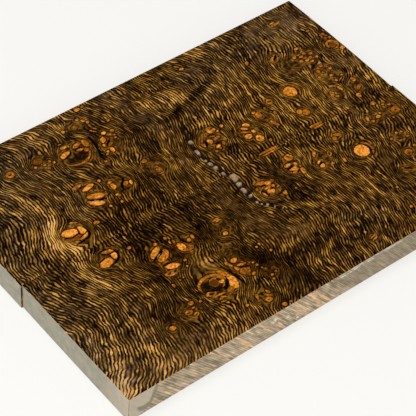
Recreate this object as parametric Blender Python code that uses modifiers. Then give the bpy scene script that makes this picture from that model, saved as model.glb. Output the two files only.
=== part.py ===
"""A bookmatched pair of stabilized oak burl knife scales, laid open side by side.

Both scales were sawn from one block and opened like a book, so the figure of one mirrors the other
across the seam.  Each is a plain rectangular slab with its own shakes, and the bark seam that ran
through the block crosses both.  X runs along the slabs, +Y is the far slab's side, Z is up, and the
origin is the middle of the pair's underside.
"""
import math

import bmesh
import bpy
from mathutils import Vector

MM = 0.001

# Driving sizes, in metres
SCALE_LENGTH = 127.4 * MM
SCALE_WIDTH = 45.0 * MM
SCALE_THICKNESS = 8.7 * MM
SEAM_GAP = 0.4 * MM
END_STAGGER = 0.5 * MM
EDGE_BREAK = 0.25 * MM

# How far each sawn end bellies out past its corners
NEAR_END_BOW = {"left": 0.10 * MM, "right": 0.0 * MM}
FAR_END_BOW = {"left": 0.0 * MM, "right": 0.35 * MM}
BOW_STEPS = 8

# Shakes are slits this many times as deep as half their width
SHAKE_DEPTH_RATIO = 4.0
SHAKE_SIDES = 2
BARK_DEPTH_RATIO = 1.1
TIP_WIDTH = 0.35

# Scales: name, side of the seam, shift along X, end bows
NEAR = {"name": "near_scale", "side": -1, "shift": END_STAGGER / 2, "bow": NEAR_END_BOW}
FAR = {"name": "far_scale", "side": 1, "shift": -END_STAGGER / 2, "bow": FAR_END_BOW}

# Points below are (along, out) in millimetres: along from the near scale's left end, out from the
# middle of the seam.  The same shake is cut a little further along in the near scale, because the
# shakes lean in the block.
NEAR_SHAKES = {
    "beside_great_eye": (0.50, [(45.3, 26.3), (45.9, 28.0), (46.3, 30.2), (46.4, 32.8)]),
    "great_eye_right": (0.42, [(41.0, 31.4), (42.4, 30.6), (43.3, 29.6), (43.7, 28.4)]),
    "great_eye_left": (0.36, [(36.3, 29.3), (37.5, 30.0), (38.8, 30.5), (40.0, 31.0)]),
    "twin_eye": (0.62, [(31.9, 13.3), (33.5, 12.6), (35.7, 11.4)]),
    "hooked_eye": (0.50, [(42.3, 10.2), (42.4, 11.8), (43.0, 12.8), (44.1, 13.7)]),
    "seam_eye_top": (0.36, [(22.0, 2.0), (23.2, 3.2), (25.2, 4.2)]),
    "seam_eye_rim": (0.32, [(26.1, 3.0), (26.3, 4.8), (25.4, 6.6)]),
    "split_eye": (0.38, [(48.1, 27.0), (49.3, 27.9), (50.6, 28.8)]),
    "bark_side_eye": (0.40, [(70.8, 10.9), (71.0, 11.8), (71.4, 12.5)]),
    "round_eye_rim": (0.36, [(103.7, 11.7), (105.0, 12.7), (105.5, 14.2), (105.0, 15.7), (104.2, 16.6)]),
    "far_end_eye": (0.42, [(107.4, 26.3), (108.4, 26.8), (109.5, 27.6)]),
    "comb_eye": (0.36, [(81.9, 7.6), (83.2, 8.0)]),
}
FAR_SHAKES = {
    "beside_great_eye": (0.50, [(44.9, 33.0), (45.0, 30.8), (44.5, 28.2), (43.7, 26.2), (43.5, 24.2)]),
    "great_eye_right": (0.38, [(39.2, 31.1), (40.6, 31.7), (41.6, 31.3), (42.7, 30.6)]),
    "great_eye_left": (0.34, [(34.8, 29.9), (36.6, 30.6), (37.5, 31.7)]),
    "twin_eye": (0.74, [(30.6, 13.9), (32.3, 12.9), (34.4, 11.9)]),
    "hooked_eye": (0.50, [(42.7, 18.6), (43.2, 16.8), (43.0, 15.0), (41.6, 14.0), (41.1, 13.0), (41.0, 11.6)]),
    "seam_eye_mid": (0.36, [(18.0, 6.4), (20.0, 5.9), (22.1, 6.7)]),
    "seam_eye_rim": (0.44, [(19.5, 3.0), (21.5, 3.2), (23.6, 3.7), (24.6, 5.2)]),
    "split_eye": (0.38, [(46.9, 27.5), (47.8, 28.4), (49.0, 29.1)]),
    "bark_side_eye": (0.40, [(69.1, 12.7), (69.6, 11.4)]),
    "round_eye_rim": (0.34, [(102.4, 18.0), (103.8, 16.7), (104.4, 15.2), (103.3, 13.2), (102.7, 12.0)]),
    "far_end_eye": (0.46, [(106.2, 27.7), (107.4, 28.3), (108.4, 29.0)]),
    "bark_tail": (0.40, [(68.2, 17.6), (68.6, 20.4), (69.4, 23.8)]),
    "small_eye": (0.36, [(94.0, 15.4), (95.1, 15.0)]),
}

# The bark seam is a round-bottomed groove: (along, out, width)
NEAR_BARK = [
    (67.6, -1.5, 1.9), (67.4, 3.5, 1.7), (66.9, 7.0, 1.7), (66.8, 10.5, 1.3),
    (67.6, 13.6, 1.1), (68.9, 15.6, 0.8), (70.3, 17.6, 0.6), (72.4, 19.4, 0.4),
]
FAR_BARK = [
    (66.7, -1.5, 1.8), (66.1, 3.5, 1.7), (65.9, 6.5, 1.8), (65.6, 9.8, 1.4),
    (65.5, 12.6, 1.3), (65.7, 14.6, 1.0), (66.6, 17.0, 1.0), (67.4, 20.0, 0.6), (68.0, 22.8, 0.4),
]

# Lumps of bark left in the groove: (along, out, length, width, lean in degrees)
NEAR_LUMPS = [
    (67.7, 2.0, 3.2, 1.5, -3), (67.3, 4.6, 1.6, 1.3, 8), (66.9, 6.9, 1.8, 1.3, 5),
    (67.0, 9.6, 0.9, 1.0, 0), (67.2, 12.3, 1.3, 0.8, -20), (68.6, 15.1, 1.3, 0.5, -35),
]
FAR_LUMPS = [
    (66.4, 1.3, 1.2, 1.2, 0), (66.1, 3.8, 1.5, 1.4, 10), (66.0, 5.6, 1.4, 1.4, -8),
    (65.7, 7.6, 1.1, 0.9, 0), (65.6, 11.6, 2.4, 1.0, 0), (66.3, 16.0, 2.0, 0.8, -15),
]
LUMP_SINK = 0.35 * MM
LUMP_HEIGHT = 0.9 * MM


def collection(name):
    """A new collection in the scene."""
    made = bpy.data.collections.new(name)
    bpy.context.scene.collection.children.link(made)
    return made


def burl_material():
    """Dark figured burl, wiped with oil."""
    material = bpy.data.materials.new("oiled_oak_burl")
    material.use_nodes = True
    shader = material.node_tree.nodes["Principled BSDF"]
    shader.inputs["Base Color"].default_value = (0.11, 0.06, 0.024, 1.0)
    shader.inputs["Roughness"].default_value = 0.42
    shader.inputs["Metallic"].default_value = 0.0
    return material


def place(side, along, out, z):
    """A point of a scale, from millimetres along and out from the seam."""
    left_end = -(SCALE_LENGTH - END_STAGGER) / 2
    return Vector((left_end + along * MM, side * out * MM, z))


def sawn_slab(scale, material, parts):
    """The rectangular slab, its ends bellied by the saw and its edges broken."""
    side, shift, bow = scale["side"], scale["shift"], scale["bow"]
    middle = (shift, side * (SEAM_GAP + SCALE_WIDTH) / 2, SCALE_THICKNESS / 2)
    bpy.ops.mesh.primitive_cube_add(size=1.0, location=middle)
    slab = bpy.context.object
    slab.name = scale["name"]
    mesh = bmesh.new()
    mesh.from_mesh(slab.data)
    bmesh.ops.scale(mesh, vec=(SCALE_LENGTH, SCALE_WIDTH, SCALE_THICKNESS), verts=mesh.verts)
    crossing = [e for e in mesh.edges if abs(e.verts[0].co.y - e.verts[1].co.y) > SCALE_WIDTH / 2]
    bmesh.ops.subdivide_edges(mesh, edges=crossing, cuts=BOW_STEPS - 1, use_grid_fill=True)
    for vert in mesh.verts:
        share = 1.0 - (2.0 * vert.co.y / SCALE_WIDTH) ** 2
        end = "right" if vert.co.x > 0 else "left"
        vert.co.x += math.copysign(bow[end] * share, vert.co.x)
    mesh.to_mesh(slab.data)
    mesh.free()
    bevel = slab.modifiers.new("broken_edges", "BEVEL")
    bevel.width = EDGE_BREAK
    bevel.segments = 2
    bevel.limit_method = "ANGLE"
    bevel.angle_limit = math.radians(40)
    slab.data.materials.append(material)
    for owner in list(slab.users_collection):
        owner.objects.unlink(slab)
    parts.objects.link(slab)
    return slab


def groove_cutter(name, side, route, depth_ratio, sides, cutters):
    """A tube lying in the show face along a route of (along, out, width), deepened by depth_ratio."""
    curve = bpy.data.curves.new(name, "CURVE")
    curve.dimensions = "3D"
    curve.bevel_depth = 0.5 * MM
    curve.bevel_resolution = sides
    curve.use_fill_caps = True
    curve.resolution_u = 4
    spline = curve.splines.new("NURBS")
    spline.points.add(len(route) - 1)
    for point, (along, out, width) in zip(spline.points, route):
        point.co = (*place(side, along, out, 0.0), 1.0)
        point.radius = width
    spline.order_u = min(3, len(route))
    spline.use_endpoint_u = True
    guide = bpy.data.objects.new(name + "_guide", curve)
    bpy.context.scene.collection.objects.link(guide)
    bpy.context.view_layer.update()
    evaluated = guide.evaluated_get(bpy.context.evaluated_depsgraph_get())
    solid = bpy.data.meshes.new_from_object(evaluated)
    mesh = bmesh.new()
    mesh.from_mesh(solid)
    bmesh.ops.remove_doubles(mesh, verts=mesh.verts, dist=0.00001)
    bmesh.ops.recalc_face_normals(mesh, faces=mesh.faces)
    for vert in mesh.verts:
        vert.co.z = vert.co.z * depth_ratio + SCALE_THICKNESS
    mesh.to_mesh(solid)
    mesh.free()
    bpy.data.objects.remove(guide)
    cutter = bpy.data.objects.new(name, solid)
    cutter.hide_render = True
    cutter.display_type = "WIRE"
    cutters.objects.link(cutter)
    return cutter


def tapered(width, points):
    """A shake's route: full width along its middle and fine at its tips."""
    last = len(points) - 1
    return [
        (along, out, width * (TIP_WIDTH if i in (0, last) else 1.0))
        for i, (along, out) in enumerate(points)
    ]


def with_middle(points):
    """A two-point shake gets a middle point, so that it has a widest place."""
    if len(points) > 2:
        return points
    (a, b), (c, d) = points
    return [(a, b), ((a + c) / 2, (b + d) / 2), (c, d)]


def bark_lump(name, side, row, lumps):
    """A rounded lump of bark, sunk into the groove's floor."""
    along, out, length, width, lean = row
    top = SCALE_THICKNESS - LUMP_SINK
    bpy.ops.mesh.primitive_cube_add(size=1.0, location=place(side, along, out, top - LUMP_HEIGHT / 2))
    lump = bpy.context.object
    lump.name = name
    lump.scale = (width * MM, length * MM, LUMP_HEIGHT)
    lump.rotation_euler = (0.0, 0.0, math.radians(lean) * side)
    bpy.ops.object.transform_apply(location=False, rotation=False, scale=True)
    bevel = lump.modifiers.new("rounded", "BEVEL")
    bevel.width = 0.3 * min(width, length) * MM
    bevel.segments = 3
    for owner in list(lump.users_collection):
        owner.objects.unlink(lump)
    lumps.objects.link(lump)
    return lump


def boolean(target, operation, tools):
    """One Boolean on a collection, applied, with the collection's objects then removed."""
    step = target.modifiers.new(operation.lower(), "BOOLEAN")
    step.operation = operation
    step.operand_type = "COLLECTION"
    step.collection = tools
    step.solver = "EXACT"
    bpy.context.view_layer.update()
    evaluated = target.evaluated_get(bpy.context.evaluated_depsgraph_get())
    result = bpy.data.meshes.new_from_object(evaluated)
    target.modifiers.clear()
    target.data = result
    for tool in list(tools.objects):
        bpy.data.objects.remove(tool)


def burl_scale(scale, shakes, bark, lumps, material, parts):
    """One scale: the sawn slab, cut by its shakes and the bark seam, with the bark left in it."""
    name, side = scale["name"], scale["side"]
    slab = sawn_slab(scale, material, parts)
    cutters = collection(name + "_cutters")
    for place_name, (width, points) in shakes.items():
        route = tapered(width, with_middle(points))
        groove_cutter(place_name, side, route, SHAKE_DEPTH_RATIO, SHAKE_SIDES, cutters)
    groove_cutter("bark_seam", side, bark, BARK_DEPTH_RATIO, 4, cutters)
    boolean(slab, "DIFFERENCE", cutters)
    grown = collection(name + "_bark")
    for number, row in enumerate(lumps):
        bark_lump(f"{name}_lump_{number}", side, row, grown)
    boolean(slab, "UNION", grown)
    slab.data.shade_smooth()
    slab.data.set_sharp_from_angle(angle=math.radians(30))
    return slab


for old in list(bpy.data.objects):
    bpy.data.objects.remove(old)
pair = collection("stabilized_oak_burl_scales")
oiled_burl = burl_material()
burl_scale(NEAR, NEAR_SHAKES, NEAR_BARK, NEAR_LUMPS, oiled_burl, pair)
burl_scale(FAR, FAR_SHAKES, FAR_BARK, FAR_LUMPS, oiled_burl, pair)
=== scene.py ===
"""A bookmatched pair of stabilized oak burl scales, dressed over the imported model."""
import math

import bmesh
import bpy
import numpy as np
from mathutils import Matrix, Vector


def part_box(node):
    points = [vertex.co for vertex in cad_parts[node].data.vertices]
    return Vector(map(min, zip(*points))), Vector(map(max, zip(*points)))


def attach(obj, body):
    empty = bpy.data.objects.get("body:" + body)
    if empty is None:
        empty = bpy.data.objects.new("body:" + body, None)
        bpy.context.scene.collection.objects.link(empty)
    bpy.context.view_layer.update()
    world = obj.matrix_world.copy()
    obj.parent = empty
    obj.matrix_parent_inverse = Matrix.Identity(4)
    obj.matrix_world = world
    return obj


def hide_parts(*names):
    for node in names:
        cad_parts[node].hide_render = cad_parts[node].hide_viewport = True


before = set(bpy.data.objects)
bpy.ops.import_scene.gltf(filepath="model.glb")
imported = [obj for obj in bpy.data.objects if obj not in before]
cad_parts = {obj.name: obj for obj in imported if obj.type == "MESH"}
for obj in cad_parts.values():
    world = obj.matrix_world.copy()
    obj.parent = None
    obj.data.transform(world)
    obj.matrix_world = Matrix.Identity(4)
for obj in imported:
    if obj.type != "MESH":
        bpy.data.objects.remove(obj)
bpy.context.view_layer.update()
MM = 0.001

# The studio: the pair lies on a white sweep, lit through from behind, in a light tent and is
# photographed from above its near left corner with a long lens, so that its long side and its left
# end both show.
EYE = Vector((-0.2329, -0.2590, 0.3691))
AIM = Vector((0.45430748, 0.51096543, -0.72973902))
ROLL_DEGREES = 4.285
FOCAL_PIXELS = 1864.6
FRAME_PIXELS = 416

camera_data = bpy.data.cameras.new("studio_camera")
camera_data.sensor_width = 36.0
camera_data.lens = 36.0 * FOCAL_PIXELS / FRAME_PIXELS
camera = bpy.data.objects.new("studio_camera", camera_data)
bpy.context.scene.collection.objects.link(camera)
turn = AIM.to_track_quat("-Z", "Y").to_matrix() @ Matrix.Rotation(math.radians(ROLL_DEGREES), 3, "Z")
camera.matrix_world = Matrix.Translation(EYE) @ turn.to_4x4()
bpy.context.scene.camera = camera
bpy.context.scene.view_settings.view_transform = "Standard"


def softbox(name, place, size, watts, color):
    """A square softbox that looks at the middle of the pair."""
    light = bpy.data.lights.new(name, "AREA")
    light.shape = "SQUARE"
    light.size = size
    light.energy = watts
    light.color = color
    holder = bpy.data.objects.new(name, light)
    bpy.context.scene.collection.objects.link(holder)
    holder.location = place
    holder.rotation_euler = (-Vector(place)).to_track_quat("-Z", "Y").to_euler()
    return holder


softbox("overhead_softbox", (-0.35, -0.10, 1.0), 0.9, 13.0, (1.0, 0.99, 0.97))
softbox("front_softbox", (-0.7, -0.8, 0.6), 0.7, 7.0, (1.0, 1.0, 1.0))

tent = bpy.data.worlds.new("light_tent")
tent.use_nodes = True
tent.node_tree.nodes["Background"].inputs["Color"].default_value = (1.0, 0.995, 0.98, 1.0)
tent.node_tree.nodes["Background"].inputs["Strength"].default_value = 0.45
bpy.context.scene.world = tent

bpy.ops.object.select_all(action="DESELECT")
bpy.ops.mesh.primitive_plane_add(size=4.0, location=(0.0, 0.0, 0.0))
sweep = bpy.context.object
sweep.name = "studio_sweep"
paper = bpy.data.materials.new("white_sweep")
paper.use_nodes = True
paper_shader = paper.node_tree.nodes["Principled BSDF"]
paper_shader.inputs["Base Color"].default_value = (0.26, 0.26, 0.255, 1.0)
paper_shader.inputs["Emission Color"].default_value = (1.0, 0.99, 0.962, 1.0)
paper_shader.inputs["Emission Strength"].default_value = 0.53
paper_shader.inputs["Roughness"].default_value = 0.9
sweep.data.materials.append(paper)

# The near scale is one slab of stabilized oak burl, sawn from a block that was opened like a book,
# so that both scales show one figure, and oiled on its show face.  Places on the figure are in
# millimetres, x from the near scale's left end and y from its long outer edge.
SEAM_Y = 45.2
LEFT_BOW = 0.1 * MM
LEFT_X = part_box("near_scale")[0][0] + LEFT_BOW
OUTER_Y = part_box("near_scale")[0][1]
TOP_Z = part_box("near_scale")[1][2]
GRAIN_SPACING = 0.83
GRAIN_SLANT = 0.83
EDGE_BREAK = 0.16 * MM
SEAM_CLEARANCE = 0.015 * MM
BACK_PITCH = 1.0 * MM
LONG_EDGE = 5 * MM
OFF_SEAM = 1 * MM
ALIGNED = 0.99

# Grain directions: x, y, degrees turned from +x
NEAR_GRAIN = [
    (1, 42, 90), (17, 43, 70), (12, 37, 130), (5, 33, 130), (20, 25, 97), (14.8, 15, 90), (8, 17, 65),
    (5, 11, 50), (2, 3, 33), (8, 5, 45), (14, 3, 60), (30, 5, 62), (42, 5, 67), (35, 9, 120),
    (57, 8, 55), (43, 42, 105), (60, 38, 95), (48, 27, 90), (64, 27, 110), (70, 12, 90), (67, 8, 50),
    (74, 3, 90), (88, 3, 50), (88, 20, 105), (94, 18, 95), (86, 30, 120), (77, 43, 125), (91, 8, 60),
    (81, 16, 50), (95.5, 39, 48), (98, 26, 120), (98, 22, 70), (97, 3, 65), (98, 13, 90), (108, 36, 90),
    (110, 30, 55), (107, 27, 60), (106, 43, 72), (124, 20, 90), (124, 40, 90), (8, 41, 130),
    (20, 32, 120), (23, 32, 130), (26, 32, 128), (30, 37, 60), (34, 42, 68), (44, 26, 60), (36, 23, 50),
    (23, 17, 62), (17, 8, 88), (56, 2, 35), (71, 26, 110), (75, 25, 115), (80, 23, 100), (83, 21, 97),
    (65, 14, 43), (65, 2, 95), (71, 2, 90), (92, 2, 68), (101, 43, 47), (113, 41, 57), (113, 32, 58),
    (113, 27, 45), (117, 26, 27), (104, 26, 53), (28, 9, 88), (38, 22, 155), (44, 20, 120),
    (52, 11, 50), (74, 17, 75), (96, 33, 60),
]
# Where the lines run closer together, or wider apart where negative: strength, width, then x, y
NEAR_FINE = [
    (0.4, 10.0, [(58, 40), (58, 26)]), (0.2, 10.0, [(72, 32), (94, 32)]),
    (0.15, 8.0, [(49, 24), (50, 20)]), (-0.2, 8.0, [(13, 25), (13, 12)]),
    (-0.15, 8.0, [(22, 5), (24, 4)]), (-0.2, 8.0, [(50, 12), (58, 5)]), (0.2, 6.0, [(68, 4), (70, 3)]),
    (-0.15, 7.0, [(66, 14), (69, 13)]), (-0.1, 8.0, [(40, 40), (50, 40)]),
]
# Eyes are the cut ends of buds, each lobe: x, y, length, width, lean, and a shade for a few
NEAR_EYES = [
    (24.2, 41.8, 3.4, 1.3, -20, 0.65), (21.8, 38.7, 4.2, 2.6, 12, 0.7),
    (24.8, 39.6, 1.9, 2.8, -15, 0.75), (24.0, 38.2, 2.0, 1.2, 30, 0.4), (29.5, 39.4, 1.2, 0.9, 0),
    (33.9, 34.1, 4.6, 1.9, 33, 0.6), (34.9, 31.8, 4.2, 2.1, 25, 0.68), (36.4, 32.9, 1.2, 1.8, 0, 0.6),
    (34.8, 28.0, 4.2, 1.8, -20, 0.65), (34.1, 30.0, 2.2, 0.5, 5, 0.35), (33.1, 26.8, 3.2, 0.6, -5, 0.4),
    (33.2, 25.6, 2.8, 0.7, -5, 0.55), (31.8, 26.4, 0.9, 1.1, 20, 0.5), (35.8, 36.5, 1.3, 0.9, 0),
    (39.1, 36.7, 0.9, 0.9, 0), (38.7, 27.7, 0.9, 0.7, 0), (37.9, 25.8, 0.7, 0.6, 0),
    (33.5, 23.1, 0.6, 0.6, 0), (34.6, 23.2, 0.6, 0.6, 0), (31.0, 22.5, 0.6, 1.6, 0),
    (39.3, 34.9, 0.6, 1.4, -10, 0.5), (40.2, 34.6, 0.6, 1.4, -15, 0.5),
    (40.8, 31.7, 2.1, 3.2, 10, 0.74), (42.1, 30.4, 2.8, 1.8, 0, 0.3), (43.8, 32.6, 1.3, 1.1, 30, 0.55),
    (45.3, 33.0, 0.8, 1.8, -10, 0.55), (54.0, 34.1, 2.6, 0.6, 5), (54.2, 33.4, 2.4, 0.5, 5),
    (53.0, 28.8, 1.6, 1.2, 0), (39.9, 17.1, 2.3, 2.6, 0, 0.05), (41.8, 16.4, 1.5, 1.2, 0, 0.8),
    (44.1, 14.7, 2.5, 4.8, -12, 0.8), (42.4, 13.1, 3.0, 1.4, 12, 0.5),
    (37.0, 14.7, 2.9, 1.6, -10, 0.35), (46.5, 20.6, 1.3, 0.8, 80), (47.0, 19.5, 0.8, 1.4, 20, 0.55),
    (48.8, 20.2, 2.1, 1.4, 0, 0.6), (47.7, 17.6, 1.2, 1.5, 0, 0.6), (49.6, 18.0, 2.6, 0.7, -15, 0.5),
    (48.9, 15.7, 2.9, 2.2, -15, 0.42), (50.3, 16.3, 0.9, 0.7, -30, 0.4), (52.7, 15.5, 0.7, 0.7, 0),
    (50.2, 13.7, 1.2, 0.8, 20), (53.2, 14.0, 0.7, 0.6, 0), (52.3, 16.7, 0.7, 0.6, 0),
    (59.0, 17.3, 0.9, 0.8, 0), (22.2, 11.6, 1.8, 1.4, 0), (30.9, 15.3, 1.5, 1.1, 0),
    (28.6, 13.2, 2.0, 1.5, 0), (30.6, 13.8, 1.0, 0.5, 0), (29.9, 11.7, 1.4, 1.2, 0),
    (33.3, 14.4, 0.9, 0.7, 0), (45.9, 7.1, 0.8, 1.9, -20), (49.2, 6.9, 0.9, 1.4, 20),
    (47.8, 4.7, 1.8, 1.6, 0), (42.0, 6.4, 0.9, 0.9, 0), (50.0, 1.1, 1.2, 1.4, 20),
    (52.0, 0.9, 0.8, 0.7, 0), (53.3, 9.3, 0.7, 0.7, 0), (53.8, 10.6, 0.8, 0.6, 0),
    (55.3, 11.0, 0.8, 0.5, 0), (56.6, 20.4, 0.6, 0.9, 0), (57.8, 20.8, 0.6, 1.0, 0),
    (72.1, 37.3, 3.0, 1.3, -15, 0.68), (73.7, 36.3, 1.5, 1.6, 0, 0.65), (72.5, 35.1, 2.4, 0.8, -5, 0.6),
    (72.6, 33.6, 2.2, 2.0, 15, 0.72), (70.5, 33.6, 0.7, 1.9, 15, 0.66), (74.3, 34.8, 0.9, 0.8, 20, 0.5),
    (75.3, 33.9, 0.9, 0.6, 30), (75.3, 31.0, 1.2, 1.8, 0, 0.5), (69.8, 36.2, 0.7, 0.9, 0),
    (75.2, 36.4, 1.1, 0.9, 0, 0.35), (78.8, 30.5, 0.8, 0.6, 0), (84.5, 40.4, 2.4, 2.4, 10, 0.6),
    (82.3, 38.3, 2.1, 1.3, 8, 0.62), (84.5, 37.5, 1.0, 1.4, 0, 0.68), (82.8, 36.4, 2.7, 1.1, -5, 0.6),
    (83.0, 35.4, 2.5, 0.9, 12, 0.68), (84.6, 34.3, 1.3, 2.5, -20, 0.65), (91.1, 37.5, 1.0, 2.4, -35),
    (90.1, 34.2, 1.9, 0.8, 28, 0.62), (90.1, 32.7, 1.7, 1.3, 30, 0.66), (92.4, 31.3, 0.6, 1.5, -10),
    (93.1, 31.8, 0.6, 1.2, 0), (94.6, 35.0, 1.3, 1.8, -20, 0.55), (96.5, 30.9, 0.8, 1.8, -10),
    (99.7, 38.7, 1.4, 1.2, 0), (101.3, 39.4, 2.3, 1.1, -30), (102.8, 30.7, 4.5, 4.5, 0, 0.82),
    (117.8, 42.9, 1.7, 1.4, 0), (119.7, 41.0, 0.8, 0.8, 0), (121.2, 39.9, 0.9, 0.8, 0),
    (121.3, 37.4, 2.7, 2.4, 0, 0.35), (112.3, 39.1, 0.9, 2.2, -20), (113.1, 37.5, 0.9, 0.8, 0),
    (115.5, 38.1, 1.5, 1.2, 0), (116.7, 38.9, 0.7, 0.7, 0), (118.8, 35.4, 0.8, 0.8, 0),
    (112.8, 22.4, 1.6, 1.4, 0, 0.1), (116.0, 23.9, 0.9, 0.8, 0), (107.9, 18.4, 1.0, 2.6, 35, 0.3),
    (109.4, 17.3, 1.0, 2.4, 35, 0.3), (101.2, 14.7, 0.8, 0.7, 0), (99.5, 7.2, 0.9, 0.8, 0),
    (83.9, 5.2, 2.4, 0.5, 15), (83.8, 4.3, 2.2, 0.5, 15), (112.5, 29.4, 0.9, 0.7, 30),
    (115.1, 30.3, 0.8, 0.8, 0), (116.7, 29.9, 0.8, 0.7, 0), (114.2, 27.4, 0.8, 0.7, 0),
    (116.9, 27.6, 0.8, 0.6, 0),
]
# Rims of paler wood round the larger eyes: width, then x, y along the rim
NEAR_RIMS = [
    (0.8, [(35.6, 15.9), (35.4, 17.5), (36.3, 19.1), (38.0, 19.8), (40.0, 19.9), (42.0, 19.2),
         (43.0, 17.7), (43.2, 16.4)]), (0.45, [(36.6, 13.4), (38.5, 13.3), (40.4, 13.0)]),
    (0.45, [(39.2, 18.2), (40.4, 18.6), (41.4, 18.2)]),
    (1.3, [(43.0, 19.8), (44.0, 18.2), (44.7, 16.0)]),
    (0.5, [(42.0, 18.6), (42.5, 17.0), (42.0, 15.5), (40.9, 14.8)]),
    (0.6, [(111.8, 22.0), (112.2, 23.6), (113.6, 23.5), (114.0, 22.1)]),
    (0.5, [(37.5, 11.7), (38.5, 12.4), (39.7, 11.8)]),
    (0.4, [(37.2, 10.9), (38.0, 11.1), (39.0, 10.7)]),
    (0.4, [(104.3, 33.2), (105.6, 32.2), (106.0, 30.6), (105.4, 28.9), (104.4, 27.9)]),
    (0.7, [(79.0, 44.9), (81.5, 45.1), (85.2, 44.8)]), (0.7, [(97.4, 44.9), (101.0, 44.9)]),
]
# Shakes that stand open: width, then x, y along the shake
NEAR_SHAKES = [
    (0.5, [(21.4, 42.3), (22.6, 42.7), (24.0, 42.7), (25.4, 42.3)]),
    (0.6, [(25.2, 42.4), (26.1, 41.4), (26.3, 40.2), (25.9, 39.0), (25.0, 38.2), (23.8, 37.6),
         (22.4, 37.2)]), (0.5, [(22.2, 41.8), (23.4, 41.1), (24.8, 40.8), (26.1, 41.0)]),
    (0.4, [(24.2, 40.6), (23.9, 39.3), (24.3, 38.1)]),
    (0.35, [(20.4, 40.0), (21.3, 40.0), (22.3, 40.3)]),
    (0.9, [(32.0, 32.1), (33.4, 32.6), (34.8, 33.2), (35.9, 34.1)]),
    (0.5, [(32.6, 29.2), (34.4, 29.3), (36.0, 29.1)]),
    (0.5, [(32.2, 26.3), (33.4, 26.3), (34.8, 26.2)]), (0.45, [(39.7, 35.3), (39.8, 34.2)]),
    (0.75, [(42.3, 35.6), (42.3, 33.8), (42.8, 32.5), (43.7, 31.5)]),
    (0.4, [(43.9, 31.0), (44.3, 29.8), (43.7, 28.6)]), (0.35, [(40.6, 30.8), (40.9, 30.7)]),
    (0.45, [(41.8, 31.0), (42.1, 30.8)]),
    (0.5, [(35.7, 16.2), (37.0, 15.9), (38.2, 15.1), (39.6, 14.7)]),
    (0.65, [(43.6, 16.9), (43.3, 15.7), (42.3, 14.7), (40.9, 13.8)]),
    (0.75, [(44.7, 20.4), (45.5, 18.6), (46.0, 16.4), (46.3, 14.0), (46.4, 11.8)]),
    (0.55, [(36.5, 14.8), (37.7, 14.4)]), (0.55, [(48.0, 18.2), (49.2, 17.3), (50.8, 16.3)]),
    (0.3, [(28.1, 13.3), (29.1, 13.0)]), (0.3, [(29.5, 11.5), (30.3, 11.8)]),
    (0.35, [(45.1, 6.3), (45.3, 8.0)]), (0.4, [(47.6, 4.8), (48.0, 4.7)]),
    (0.8, [(70.3, 34.9), (71.1, 34.4), (71.3, 33.3), (71.1, 32.5)]),
    (0.5, [(71.3, 36.1), (72.3, 36.3), (73.0, 35.8)]),
    (0.4, [(73.0, 34.4), (74.0, 34.0), (74.5, 33.8)]),
    (0.45, [(73.7, 31.4), (74.7, 31.6), (75.7, 31.9)]), (0.3, [(69.6, 38.0), (70.4, 36.8)]),
    (0.75, [(81.4, 37.1), (82.5, 37.3), (83.6, 37.5)]), (0.4, [(83.0, 34.7), (84.2, 35.5)]),
    (0.4, [(84.4, 41.2), (84.9, 40.5)]), (0.55, [(89.3, 33.2), (90.2, 33.6), (90.9, 34.1)]),
    (0.4, [(94.4, 34.7), (95.0, 35.6)]), (0.35, [(95.0, 33.0), (96.0, 34.0)]),
    (0.5, [(103.7, 33.4), (104.9, 32.3), (105.3, 30.7), (104.8, 29.3), (103.8, 28.2)]),
    (0.6, [(107.7, 19.0), (108.6, 18.3), (109.7, 17.4)]), (0.3, [(121.0, 37.5), (121.7, 37.3)]),
    (0.3, [(112.5, 22.5), (113.1, 22.3)]),
]
# The bark seam's channel: x, y, width; and the lumps of bark in it: x, y, width, length, lean
NEAR_BARK = [
    (67.6, 46.5, 1.9), (67.5, 43.0, 1.8), (67.2, 40.5, 1.7), (66.9, 38.2, 1.6), (66.9, 34.7, 1.3),
    (67.6, 31.6, 1.1), (68.9, 29.6, 0.8), (70.3, 27.6, 0.6), (72.4, 25.8, 0.4),
]
NEAR_LUMPS = [
    (67.7, 43.5, 1.6, 3.1, 0), (67.3, 40.8, 1.5, 1.6, 10), (66.9, 38.3, 1.4, 2.1, 0),
    (67.1, 35.6, 1.1, 0.9, 0), (67.0, 32.7, 0.9, 1.2, 15), (67.6, 31.4, 0.7, 0.9, 30),
    (68.6, 30.3, 0.8, 0.9, 40), (34.3, 33.1, 0.4, 1.7, 65), (33.6, 26.3, 0.35, 1.3, 90),
    (69.7, 28.5, 0.5, 0.8, 40), (71.2, 26.9, 0.4, 0.9, 50),
]
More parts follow.
